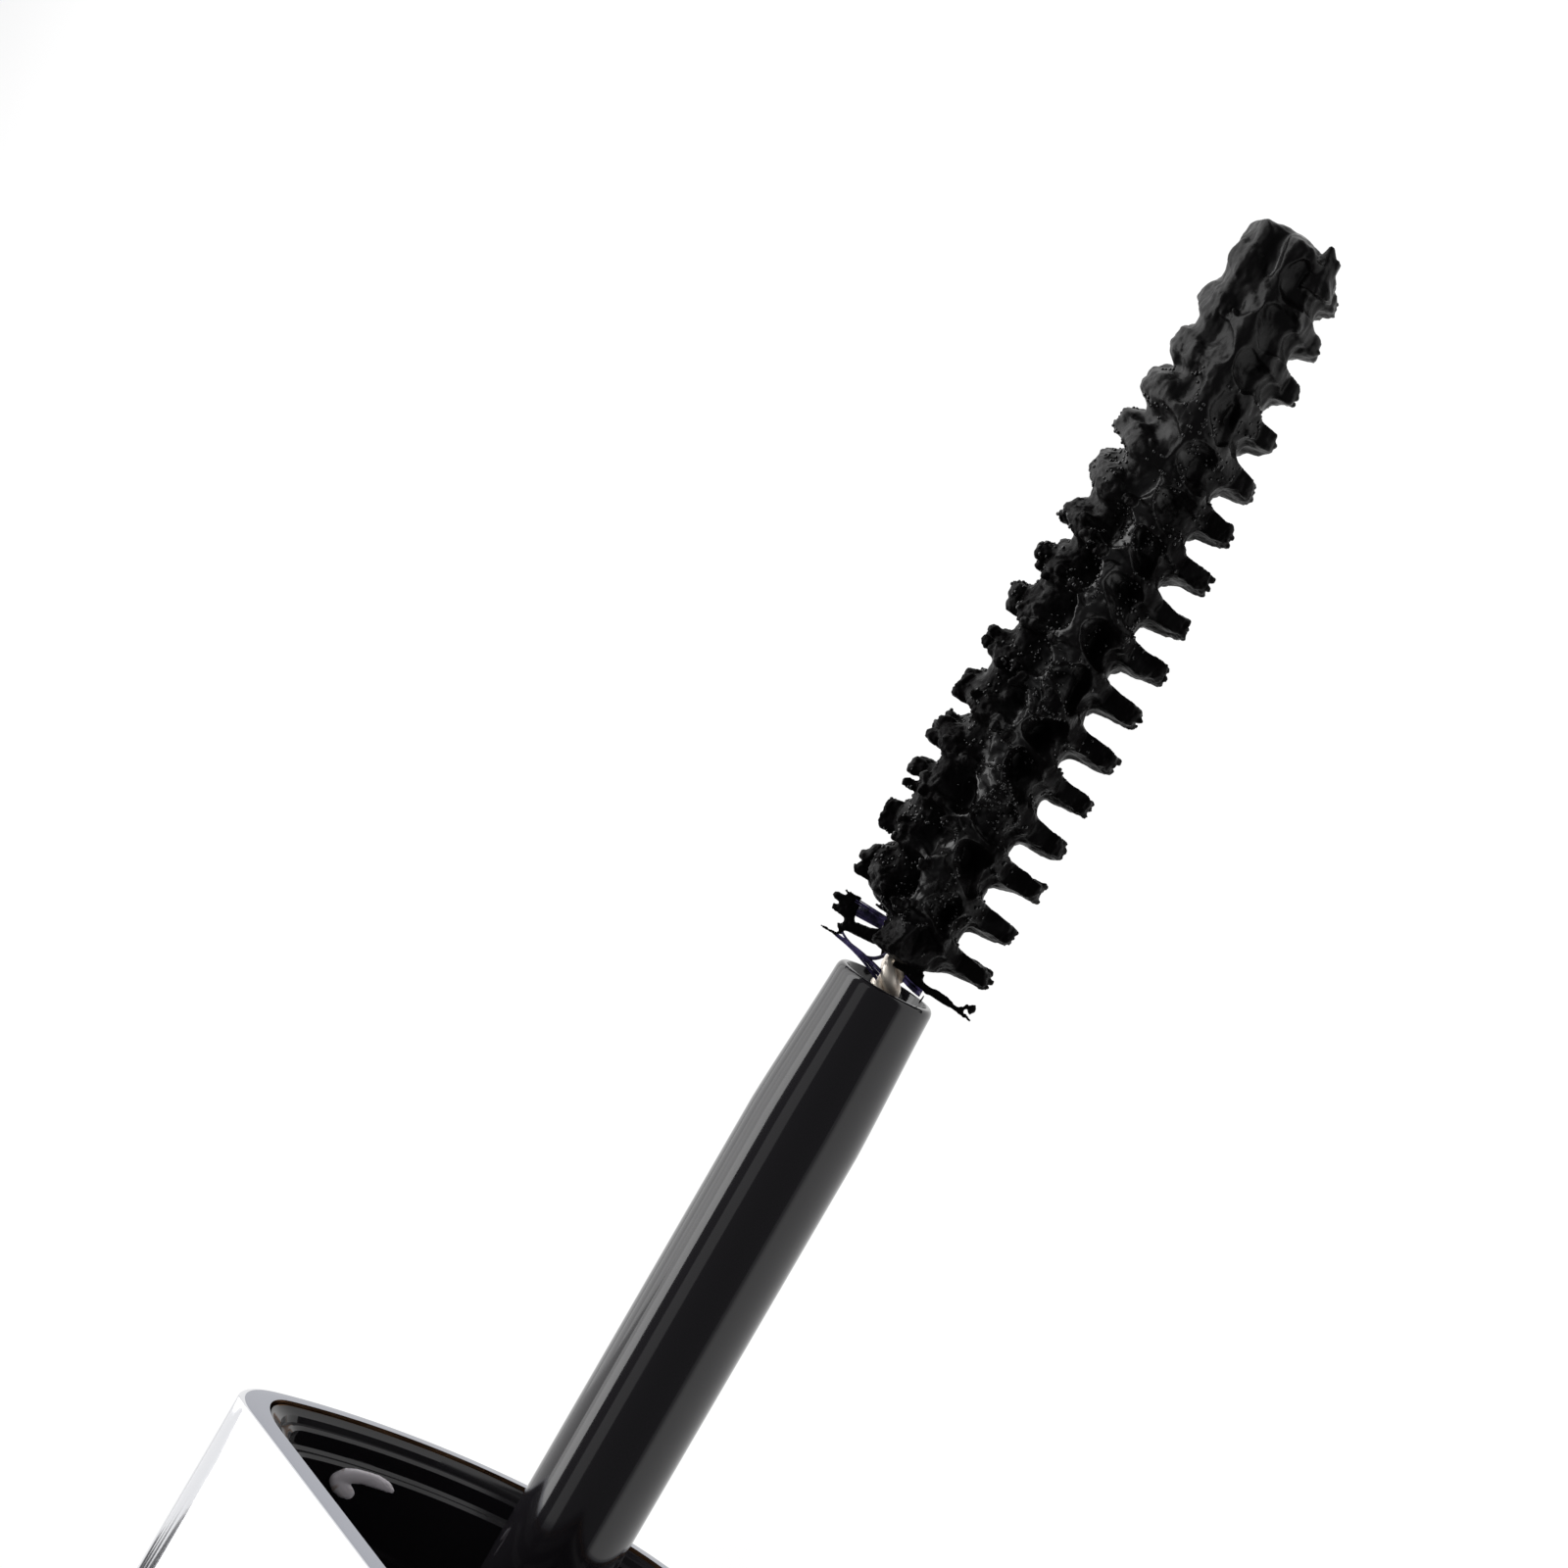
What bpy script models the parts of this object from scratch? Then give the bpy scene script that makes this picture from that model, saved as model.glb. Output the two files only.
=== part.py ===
"""Mascara with a D-shaped chrome cap and tube, lying open in one line.

The applicator (cap, stem, twisted-wire brush) points along +X towards the mouth of the tube.
Both halves lie on the narrow flat along their rounded backs, with the wide flat face up.
Units are metres, +Z is up, and the origin is under the middle of the whole object.
"""

import math

import bmesh
import bpy
from mathutils import Vector

MM = 0.001
CLEARANCE = 0.3 * MM            # between pieces that touch or seat on each other

# D-shaped section shared by the cap and the tube, measured from the stem's axis
FLAT_HEIGHT = 9.55 * MM         # axis up to the wide flat face
REST_DROP = 9.1 * MM            # axis down to the narrow flat that it lies on
BACK_DROP = 9.6 * MM            # axis down to where the rounded back would close
WIDEST_HEIGHT = 7.2 * MM        # height of the widest line above the axis
HALF_WIDTH = 10.3 * MM           # at the rims
CORNER_WIDTH = 2.0 * MM         # how far the rounded corner eats into the flat face
CORNER_POWER = 2.2
BACK_POWER = 1.85
BULGE = 0.45 * MM               # extra half width in the middle of each shell

# Shells
CAP_LENGTH = 50.0 * MM
SHELL_WALL = 0.6 * MM
FLAT_WALL = 1.0 * MM            # the flat face is thicker
RIM_ROUND = 0.15 * MM
END_PLATE = 1.2 * MM

# Black liner inside the cap
LINER_DROP = 0.4 * MM           # its edge below the cap's rim
LINER_WALL = 0.6 * MM
LINER_STEP_DEPTH = 1.4 * MM
LINER_STEP = 0.4 * MM
RECESS_DEPTH = 13.3 * MM        # floor below the rim
LINER_FLOOR = 1.5 * MM
WEIGHT_GAP = 3.7 * MM           # between the weight and the back of the liner

# Thread between cap and tube
THREAD_PITCH = 2.4 * MM
THREAD_DEPTH = 0.3 * MM
NECK_RADIUS = 4.6 * MM
NECK_BORE = 4.1 * MM
INSERT_BORE = 5.45 * MM
INSERT_RADIUS = 6.1 * MM
INSERT_HEIGHT = 8.0 * MM

# Sealing washer on the floor of the cap
WASHER_INNER = 3.2 * MM
WASHER_OUTER = 4.85 * MM
WASHER_THICKNESS = 0.8 * MM

# Stem, wire and brush
STEM_RADIUS = 2.2 * MM
STEM_REACH = 25.4 * MM          # rim of the cap to the end of the stem
STEM_END_RADIUS = 1.95 * MM
STEM_TAPER = 6.5 * MM
STEM_FLANGE_RADIUS = 2.9 * MM
STEM_FLANGE = 1.0 * MM
STEM_RECESS_RADIUS = 1.6 * MM
STEM_RECESS_DEPTH = 1.5 * MM
WIRE_SOCKET_DEPTH = 9.0 * MM
WIRE_RADIUS = 0.53 * MM         # reach of the two twisted strands
WIRE_WAIST = 0.34 * MM
TWIST_PITCH = 3.59 * MM         # the wire and the bristles twist left-handed
TWIST_START = math.radians(60)  # angle of the twist at the end of the stem
BRUSH_LENGTH = 30.6 * MM        # end of the stem to the tip of the brush
BRUSH_START = 1.3 * MM          # bare wire before the first bristles
BRUSH_RADIUS = 3.3 * MM
BRUSH_TIP_RADIUS = 2.05 * MM
BRUSH_TAPER_START = 15.5 * MM
CORE_RADIUS = 1.6 * MM
CORE_BORE = 0.73 * MM
SLICE_COUNT = 6
STRAND_PAIRS = 26               # pairs of bristles in each slice
STRAND_ROOT = 0.19 * MM
STRAND_TIP = 0.13 * MM

# Tube
MOUTH_DISTANCE = 20.0 * MM      # tip of the brush to the mouth, with the mascara open
COLLAR_THICKNESS = 1.2 * MM
BOTTLE_RADIUS = 7.0 * MM
BOTTLE_WALL = 0.8 * MM
SHOULDER_LENGTH = 2.0 * MM
SEAT_THICKNESS = 2.0 * MM
SEAT_WIDTH = 2.5 * MM
WIPER_WALL = 0.4 * MM
WIPER_LENGTH = 9.0 * MM
CHANNEL_CLEARANCE = 0.35 * MM
PASTE_UNDER_TIP = 5.05 * MM     # mascara left below the channel

ROUND_SEGMENTS = 24
CORNER_STEPS = 4
BACK_STEPS = 10
FLAT_STEPS = 8
REST_STEPS = 2

# Places along X, worked out from the sizes above
WEIGHT_LENGTH = CAP_LENGTH - END_PLATE - CLEARANCE - WEIGHT_GAP - LINER_FLOOR - RECESS_DEPTH
CHANNEL_DEPTH = STEM_REACH + BRUSH_LENGTH - CLEARANCE + CHANNEL_CLEARANCE
TUBE_FOOT = BOTTLE_WALL + CLEARANCE + SEAT_THICKNESS + CLEARANCE + END_PLATE
TUBE_LENGTH = CHANNEL_DEPTH + PASTE_UNDER_TIP + CLEARANCE + TUBE_FOOT
MOUTH_DEPTH = RECESS_DEPTH - CLEARANCE - WASHER_THICKNESS - CLEARANCE
NECK_LENGTH = MOUTH_DEPTH + CLEARANCE
PULL = BRUSH_LENGTH + STEM_REACH + MOUTH_DISTANCE + NECK_LENGTH - CLEARANCE
TOTAL_LENGTH = CAP_LENGTH + PULL + CLEARANCE + TUBE_LENGTH
RIM_X = -TOTAL_LENGTH / 2 + CAP_LENGTH
TUBE_X = RIM_X + PULL + CLEARANCE
STEM_END_X = RIM_X + STEM_REACH
AXIS_Z = REST_DROP


def material(name, colour, roughness, metallic=0.0):
    """A Principled material, made once for each name."""
    found = bpy.data.materials.get(name)
    if found:
        return found
    made = bpy.data.materials.new(name)
    made.use_nodes = True
    shader = made.node_tree.nodes["Principled BSDF"]
    shader.inputs["Base Color"].default_value = (*colour, 1.0)
    shader.inputs["Roughness"].default_value = roughness
    shader.inputs["Metallic"].default_value = metallic
    return made


def solid(name, rings, surface, closed=False):
    """One body lofted through rings of points, with its ends filled or joined to each other."""
    mesh = bpy.data.meshes.new(name)
    shape = bmesh.new()
    loops = [[shape.verts.new(point) for point in ring] for ring in rings]
    pairs = list(zip(loops, loops[1:]))
    if closed:
        pairs.append((loops[-1], loops[0]))
    else:
        shape.faces.new(loops[0])
        shape.faces.new(loops[-1])
    for first, second in pairs:
        for i in range(len(first)):
            j = (i + 1) % len(first)
            shape.faces.new((first[i], first[j], second[j], second[i]))
    bmesh.ops.recalc_face_normals(shape, faces=shape.faces)
    shape.to_mesh(mesh)
    shape.free()
    mesh.shade_smooth()
    mesh.set_sharp_from_angle(angle=math.radians(35))
    mesh.materials.append(surface)
    made = bpy.data.objects.new(name, mesh)
    bpy.context.scene.collection.objects.link(made)
    return made


def section(inset, flat_inset):
    """The D outline as (y, z) from the axis, moved inwards by the insets."""
    half = HALF_WIDTH - inset
    top = FLAT_HEIGHT - flat_inset
    side = []
    for k in range(CORNER_STEPS + 1):
        turn = math.pi / 2 * (1 - k / CORNER_STEPS)
        across = half - CORNER_WIDTH + CORNER_WIDTH * math.cos(turn) ** (2 / CORNER_POWER)
        up = WIDEST_HEIGHT + (top - WIDEST_HEIGHT) * math.sin(turn) ** (2 / CORNER_POWER)
        side.append((across, up))
    depth = WIDEST_HEIGHT + BACK_DROP - inset
    rest = (WIDEST_HEIGHT + REST_DROP - inset) / depth
    last = math.asin(rest ** (BACK_POWER / 2))
    for k in range(1, BACK_STEPS + 1):
        turn = last * k / BACK_STEPS
        across = half * math.cos(turn) ** (2 / BACK_POWER)
        side.append((across, WIDEST_HEIGHT - depth * math.sin(turn) ** (2 / BACK_POWER)))
    points = list(side)
    left = [(-across, up) for across, up in reversed(side)]
    for k in range(1, REST_STEPS):
        share = k / REST_STEPS
        points.append((side[-1][0] * (1 - 2 * share), side[-1][1]))
    points += left
    for k in range(1, FLAT_STEPS):
        share = k / FLAT_STEPS
        points.append((side[0][0] * (2 * share - 1), side[0][1]))
    return points


def place(x, outline, widen=1.0):
    """An outline of (y, z) points set at x on the axis."""
    return [Vector((x, y * widen, AXIS_Z + z)) for y, z in outline]


def swell(along):
    """How much wider a shell is at this share of its length."""
    return 1 + BULGE / HALF_WIDTH * math.sin(math.pi * along)


def round_like(x, outline, radius):
    """A circle whose points lie at the same angles as those of an outline."""
    points = [Vector((y, z)).normalized() * radius for y, z in outline]
    return [Vector((x, point.x, AXIS_Z + point.y)) for point in points]


def circle(x, radius, count=ROUND_SEGMENTS):
    """A circle round the axis."""
    turns = [2 * math.pi * k / count for k in range(count)]
    return [Vector((x, radius * math.cos(t), AXIS_Z + radius * math.sin(t))) for t in turns]


def turned(name, profile, surface, closed=True):
    """A round body from (x, radius) points."""
    return solid(name, [circle(x, radius) for x, radius in profile], surface, closed)


def threaded_rings(start, end, radius, ridge):
    """Circles from start to end that carry a helical ridge of the given height."""
    step = THREAD_PITCH / 6
    count = max(2, round(abs(end - start) / step))
    rings = []
    for k in range(count + 1):
        x = start + (end - start) * k / count
        fade = min(1.0, 4 * min(k, count - k) / count)
        ring = []
        for m in range(ROUND_SEGMENTS):
            turn = 2 * math.pi * m / ROUND_SEGMENTS
            phase = (x / THREAD_PITCH - m / ROUND_SEGMENTS) % 1.0
            height = fade * max(0.0, min(1.0, 2.2 - 6 * abs(phase - 0.5)))
            reach = radius + ridge * height
            ring.append(Vector((x, reach * math.cos(turn), AXIS_Z + reach * math.sin(turn))))
        rings.append(ring)
    return rings


def shell(name, rim_x, end_x):
    """A D-shaped sleeve whose rim is at rim_x, open at both ends."""
    direction = 1 if end_x > rim_x else -1
    length = abs(end_x - rim_x)
    steps = 8
    outer = section(0, 0)
    eased = section(RIM_ROUND, RIM_ROUND)
    inner = section(SHELL_WALL, FLAT_WALL)
    rings = [place(rim_x, eased)]
    for k in range(steps + 1):
        along = k / steps
        x = rim_x + direction * (RIM_ROUND + (length - 2 * RIM_ROUND) * along)
        rings.append(place(x, outer, swell(along)))
    rings.append(place(end_x, eased))
    for k in range(steps + 1):
        along = 1 - k / steps
        rings.append(place(rim_x + direction * length * along, inner, swell(along)))
    return solid(name, rings, CHROME, closed=True)


def plate(name, x, thickness, inset, flat_inset, surface, hole=0.0):
    """A D-shaped plate from x to x + thickness, with a round hole if one is given."""
    outline = section(inset, flat_inset)
    if not hole:
        return solid(name, [place(x, outline), place(x + thickness, outline)], surface)
    rings = [
        place(x, outline),
        place(x + thickness, outline),
        round_like(x + thickness, outline, hole),
        round_like(x, outline, hole),
    ]
    return solid(name, rings, surface, closed=True)


def cap_pieces():
    """The cap's shell, end plate, weight, liner and thread insert."""
    cap_end = RIM_X - CAP_LENGTH
    shell("cap_shell", RIM_X, cap_end)
    inset = SHELL_WALL + CLEARANCE
    flat_inset = FLAT_WALL + CLEARANCE
    plate("cap_end_plate", cap_end, END_PLATE, inset, flat_inset, CHROME)
    plate("cap_weight", cap_end + END_PLATE + CLEARANCE, WEIGHT_LENGTH, inset, flat_inset, STEEL)

    mouth = section(inset + LINER_WALL, flat_inset + LINER_WALL)
    pocket = section(inset + LINER_WALL + LINER_STEP, flat_inset + LINER_WALL + LINER_STEP)
    outside = section(inset, flat_inset)
    rings = [
        place(RIM_X - RECESS_DEPTH - LINER_FLOOR, outside),
        place(RIM_X - LINER_DROP, outside),
        place(RIM_X - LINER_DROP, mouth),
        place(RIM_X - LINER_STEP_DEPTH, mouth),
        place(RIM_X - LINER_STEP_DEPTH, pocket),
        place(RIM_X - RECESS_DEPTH, pocket),
    ]
    solid("cap_liner", rings, BLACK)

    base = RIM_X - RECESS_DEPTH + CLEARANCE
    top = base + INSERT_HEIGHT
    rings = [circle(base, INSERT_RADIUS), circle(top, INSERT_RADIUS)]
    rings += threaded_rings(top, base, INSERT_BORE, -THREAD_DEPTH)
    solid("thread_insert", rings, BLACK, closed=True)


def twist(from_stem):
    """Angle of the wire's twist, from +Y towards +Z, at a distance from the end of the stem."""
    return TWIST_START - 2 * math.pi * from_stem / TWIST_PITCH


def stem_pieces():
    """The stem with its flange and end recess, and the twisted wire in its socket."""
    base = RIM_X - RECESS_DEPTH + CLEARANCE
    socket = WIRE_RADIUS + 0.1 * MM
    flange_top = base + STEM_FLANGE
    profile = [(base, STEM_FLANGE_RADIUS), (flange_top, STEM_FLANGE_RADIUS), (flange_top, STEM_RADIUS)]
    profile += [
        (STEM_END_X - STEM_TAPER, STEM_RADIUS),
        (STEM_END_X - RIM_ROUND, STEM_END_RADIUS),
        (STEM_END_X, STEM_END_RADIUS - RIM_ROUND),
        (STEM_END_X, STEM_RECESS_RADIUS),
        (STEM_END_X - STEM_RECESS_DEPTH, STEM_RECESS_RADIUS),
        (STEM_END_X - STEM_RECESS_DEPTH, socket),
        (STEM_END_X - STEM_RECESS_DEPTH - WIRE_SOCKET_DEPTH, socket),
    ]
    turned("stem", profile, BLACK, closed=False)

    start = STEM_END_X - STEM_RECESS_DEPTH - WIRE_SOCKET_DEPTH + CLEARANCE
    end = STEM_END_X + BRUSH_LENGTH - CLEARANCE
    count = round((end - start) / TWIST_PITCH * 7)
    sides = 8
    rings = []
    for k in range(count + 1):
        x = start + (end - start) * k / count
        ring = []
        for m in range(sides):
            around = 2 * math.pi * m / sides
            reach = WIRE_WAIST + (WIRE_RADIUS - WIRE_WAIST) * math.sin(around) ** 2
            turn = around + twist(x - STEM_END_X)
            ring.append(Vector((x, reach * math.cos(turn), AXIS_Z + reach * math.sin(turn))))
        rings.append(ring)
    solid("twisted_wire", rings, WIRE)


def brush_reach(from_stem):
    """Radius of the brush at a distance from the end of the stem."""
    share = (from_stem - BRUSH_TAPER_START) / (BRUSH_LENGTH - BRUSH_TAPER_START)
    return BRUSH_RADIUS - (BRUSH_RADIUS - BRUSH_TIP_RADIUS) * max(0.0, share)


def brush_slices():
    """Bristles on a double helix, each fused to a slice of the coated core."""
    first = BRUSH_START
    length = (BRUSH_LENGTH - CLEARANCE - first + CLEARANCE) / SLICE_COUNT
    spacing = length / STRAND_PAIRS
    root = (CORE_BORE + CORE_RADIUS) / 2
    for n in range(SLICE_COUNT):
        start = first + n * length
        end = start + length - CLEARANCE
        back, front = STEM_END_X + start, STEM_END_X + end
        rings = [
            circle(back, CORE_BORE, 12),
            circle(back, CORE_RADIUS, 12),
            circle(front, CORE_RADIUS, 12),
            circle(front, CORE_BORE, 12),
        ]
        core = solid(f"bristles_{n + 1}", rings, PASTE, closed=True)
        shape = bmesh.new()
        margin = STRAND_ROOT + 0.02 * MM
        for k in range(STRAND_PAIRS * 2):
            share = (k // 2) / (STRAND_PAIRS - 1)
            from_stem = start + margin + (end - start - 2 * margin) * share
            turn = twist(from_stem) + math.pi * (k % 2)
            outward = Vector((0, math.cos(turn), math.sin(turn)))
            sideways = Vector((0, -math.sin(turn), math.cos(turn)))
            loops = []
            for reach, size in ((root, STRAND_ROOT), (brush_reach(from_stem), STRAND_TIP)):
                centre = Vector((STEM_END_X + from_stem, 0, AXIS_Z)) + outward * reach
                loop = []
                for m in range(3):
                    around = 2 * math.pi * m / 3
                    offset = Vector((size * math.cos(around), 0, 0)) + sideways * size * math.sin(around)
                    loop.append(shape.verts.new(centre + offset))
                loops.append(loop)
            shape.faces.new(loops[0])
            shape.faces.new(loops[1])
            for m in range(3):
                j = (m + 1) % 3
                shape.faces.new((loops[0][m], loops[0][j], loops[1][j], loops[1][m]))
        bmesh.ops.recalc_face_normals(shape, faces=shape.faces)
        mesh = bpy.data.meshes.new(f"strands_{n + 1}")
        shape.to_mesh(mesh)
        shape.free()
        strands = bpy.data.objects.new(f"strands_{n + 1}", mesh)
        bpy.context.scene.collection.objects.link(strands)
        strands.hide_render = True
        strands.display_type = "WIRE"
        fuse = core.modifiers.new("fuse", "BOOLEAN")
        fuse.operation = "UNION"
        fuse.object = strands


def washer():
    """The soft washer that the tube's mouth presses against."""
    base = RIM_X - RECESS_DEPTH + CLEARANCE
    top = base + WASHER_THICKNESS
    profile = [(base, WASHER_INNER), (base, WASHER_OUTER), (top, WASHER_OUTER), (top, WASHER_INNER)]
    turned("seal_washer", profile, RUBBER)


def tube_pieces():
    """The tube's shell, collar, inner bottle, wiper, paste, seat and base plate."""
    tube_end = TUBE_X + TUBE_LENGTH
    shell("tube_shell", TUBE_X, tube_end)
    inset = SHELL_WALL + CLEARANCE
    flat_inset = FLAT_WALL + CLEARANCE
    hole = NECK_RADIUS + THREAD_DEPTH + CLEARANCE
    plate("shoulder_collar", TUBE_X + CLEARANCE, COLLAR_THICKNESS, inset, flat_inset, BLACK, hole)
    plate("tube_base_plate", tube_end - END_PLATE, END_PLATE, inset, flat_inset, CHROME)
    seat_x = tube_end - END_PLATE - CLEARANCE - SEAT_THICKNESS
    plate("bottle_seat", seat_x, SEAT_THICKNESS, inset, flat_inset, BLACK, BOTTLE_RADIUS - SEAT_WIDTH)

    mouth = TUBE_X - NECK_LENGTH
    shoulder = TUBE_X + CLEARANCE + COLLAR_THICKNESS + CLEARANCE
    bottom = seat_x - CLEARANCE
    inside = BOTTLE_RADIUS - BOTTLE_WALL
    rings = [circle(bottom, BOTTLE_RADIUS), circle(shoulder + SHOULDER_LENGTH, BOTTLE_RADIUS)]
    rings += [circle(shoulder, BOTTLE_RADIUS - SHOULDER_LENGTH / 2), circle(shoulder, NECK_RADIUS)]
    rings += threaded_rings(TUBE_X - THREAD_PITCH / 2, mouth + THREAD_PITCH / 4, NECK_RADIUS, THREAD_DEPTH)
    rings += [circle(mouth, NECK_RADIUS), circle(mouth, NECK_BORE)]
    rings += [circle(shoulder + BOTTLE_WALL, NECK_BORE)]
    rings += [circle(shoulder + SHOULDER_LENGTH + BOTTLE_WALL, inside)]
    rings += [circle(bottom - BOTTLE_WALL, inside)]
    solid("inner_bottle", rings, BLACK)

    outer = NECK_BORE - CLEARANCE
    inner = outer - WIPER_WALL
    start = mouth + CLEARANCE
    end = start + WIPER_LENGTH
    profile = [(start, inner), (start, outer), (end, outer), (end, inner)]
    turned("wiper", profile, RUBBER)

    channel = BRUSH_RADIUS + CHANNEL_CLEARANCE
    start = shoulder + SHOULDER_LENGTH + BOTTLE_WALL + CLEARANCE
    end = bottom - BOTTLE_WALL - CLEARANCE
    tip = TUBE_X + CHANNEL_DEPTH
    radius = inside - CLEARANCE
    profile = [(end, radius), (start, radius), (start, channel), (tip, channel)]
    turned("mascara_fill", profile, PASTE, closed=False)


for old in list(bpy.data.objects):
    bpy.data.objects.remove(old, do_unlink=True)

CHROME = material("chrome plating", (0.80, 0.80, 0.82), 0.06, 1.0)
STEEL = material("steel weight", (0.45, 0.45, 0.47), 0.4, 1.0)
BLACK = material("glossy black plastic", (0.012, 0.011, 0.013), 0.12)
WIRE = material("twisted steel wire", (0.62, 0.58, 0.53), 0.25, 1.0)
PASTE = material("wet black mascara", (0.008, 0.006, 0.008), 0.15)
RUBBER = material("soft sealing plastic", (0.7, 0.7, 0.68), 0.6)

cap_pieces()
stem_pieces()
brush_slices()
washer()
tube_pieces()
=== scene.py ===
"""Open mascara on a pale table: a silver cap with its stem and loaded brush, and the tube it fits."""

import math
import random

import bmesh
import bpy
from mathutils import Matrix, Vector, geometry, noise


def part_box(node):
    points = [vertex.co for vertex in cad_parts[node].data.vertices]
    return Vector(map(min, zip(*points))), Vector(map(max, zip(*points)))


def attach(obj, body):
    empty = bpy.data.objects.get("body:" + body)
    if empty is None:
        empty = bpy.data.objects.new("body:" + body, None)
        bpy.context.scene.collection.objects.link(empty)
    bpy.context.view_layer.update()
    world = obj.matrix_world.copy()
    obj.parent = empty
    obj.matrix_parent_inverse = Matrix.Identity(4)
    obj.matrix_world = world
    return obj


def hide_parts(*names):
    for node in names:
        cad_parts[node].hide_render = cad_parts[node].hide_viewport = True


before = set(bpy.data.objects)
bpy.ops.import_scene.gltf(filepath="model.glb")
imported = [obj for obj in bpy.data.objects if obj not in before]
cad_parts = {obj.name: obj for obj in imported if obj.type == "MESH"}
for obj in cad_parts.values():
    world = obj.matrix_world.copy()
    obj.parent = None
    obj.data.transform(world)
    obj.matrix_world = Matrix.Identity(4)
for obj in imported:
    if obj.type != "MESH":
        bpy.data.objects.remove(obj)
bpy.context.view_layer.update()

MM = 0.001


# The cap's sleeve. A D-shaped metal tube, plated bright silver, with a wide flat face, a rounded
# back and a cut rim. It is drawn, cut to length and polished, so its corners are tight and clean.
cap_low, cap_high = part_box("cap_shell")
stem_low, stem_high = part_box("stem")
axis_z = (stem_low.z + stem_high.z) / 2
rim_x = cap_high.x
HALF_WIDTH = 10.3 * MM
BULGE = 0.45 * MM
WIDEST = 7.2 * MM
BACK_DROP = 9.6 * MM
CORNER = 2.0 * MM
CORNER_POWER = 2.2
BACK_POWER = 1.85
SLEEVE_WALL = 0.6 * MM
FLAT_WALL = 1.0 * MM
RIM_ROUND = 0.14 * MM
flat_height = cap_high.z - axis_z
rest_drop = axis_z - cap_low.z


def d_outline(inset, flat_inset, corners=14, back=44):
    """The D section as (y, z) from the stem's axis, moved inwards by the insets."""
    half = HALF_WIDTH - inset
    top = flat_height - flat_inset
    corner = CORNER + 1.3 * inset
    widest = WIDEST - 0.9 * inset
    flat_half = half - corner
    points = [(-flat_half + 0.3 * MM, top), (0.0, top), (flat_half - 0.3 * MM, top)]
    edge = []
    for k in range(corners + 1):
        angle = math.pi / 2 * (1 - k / corners)
        y = flat_half + corner * math.cos(angle) ** (2 / CORNER_POWER)
        edge.append((y, widest + (top - widest) * math.sin(angle) ** (2 / CORNER_POWER)))
    depth = widest + BACK_DROP - inset
    last = math.asin(((widest + rest_drop - inset) / depth) ** (BACK_POWER / 2))
    for k in range(1, back + 1):
        angle = last * k / back
        y = half * math.cos(angle) ** (2 / BACK_POWER)
        edge.append((y, widest - depth * math.sin(angle) ** (2 / BACK_POWER)))
    points += edge
    points.append((edge[-1][0] - 0.3 * MM, edge[-1][1]))
    points.append((0.3 * MM - edge[-1][0], edge[-1][1]))
    points += [(-y, z) for y, z in reversed(edge)]
    return points


def d_ring(x, inset=0.0, flat_inset=None, share=0.0):
    """The D section set at x, widened by the sleeve's bulge at this share of its length."""
    if flat_inset is None:
        flat_inset = inset
    widen = 1 + BULGE / HALF_WIDTH * math.sin(math.pi * share)
    return [Vector((x, y * widen, axis_z + z)) for y, z in d_outline(inset, flat_inset)]


def start_ring(mesh, points):
    """A closed ring of edges through the points."""
    corners = [mesh.verts.new(point) for point in points]
    for k in range(len(corners)):
        mesh.edges.new((corners[k - 1], corners[k]))
    return corners


def extrude_ring(mesh, ring, points):
    """Extrudes a ring of edges and sets the new ring on the points."""
    edges = [mesh.edges.get((ring[k - 1], ring[k])) for k in range(len(ring))]
    made = bmesh.ops.extrude_edge_only(mesh, edges=edges)["geom"]
    fresh = {item for item in made if isinstance(item, bmesh.types.BMVert)}
    after = []
    for corner in ring:
        after.append(next(e.other_vert(corner) for e in corner.link_edges if e.other_vert(corner) in fresh))
    for corner, point in zip(after, points):
        corner.co = point
    return after


def finish_piece(name, mesh, body, finish, sharp=35):
    """Cleans a bmesh, makes it a smooth-shaded object with its material and lets it ride."""
    bmesh.ops.remove_doubles(mesh, verts=mesh.verts, dist=1e-7)
    bmesh.ops.recalc_face_normals(mesh, faces=mesh.faces)
    data = bpy.data.meshes.new(name)
    mesh.to_mesh(data)
    mesh.free()
    data.shade_smooth()
    data.set_sharp_from_angle(angle=math.radians(sharp))
    data.materials.append(finish)
    piece = bpy.data.objects.new(name, data)
    bpy.context.scene.collection.objects.link(piece)
    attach(piece, body)
    return piece


def new_material(name, colour, roughness, metallic=0.0):
    """A Principled material and its node tree, shader and Object coordinates."""
    made = bpy.data.materials.new(name)
    made.use_nodes = True
    tree = made.node_tree
    shader = tree.nodes["Principled BSDF"]
    shader.inputs["Base Color"].default_value = (*colour, 1.0)
    shader.inputs["Roughness"].default_value = roughness
    shader.inputs["Metallic"].default_value = metallic
    where = tree.nodes.new("ShaderNodeTexCoord")
    return made, tree, shader, where.outputs["Object"]


def noise_node(tree, where, scale, detail=3.0, stretch=(1, 1, 1)):
    """A noise pattern in object space, stretched along the axes."""
    mapping = tree.nodes.new("ShaderNodeMapping")
    mapping.inputs["Scale"].default_value = stretch
    pattern = tree.nodes.new("ShaderNodeTexNoise")
    pattern.inputs["Scale"].default_value = scale
    pattern.inputs["Detail"].default_value = detail
    tree.links.new(where, mapping.inputs["Vector"])
    tree.links.new(mapping.outputs["Vector"], pattern.inputs["Vector"])
    return pattern.outputs["Fac"]


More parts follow.
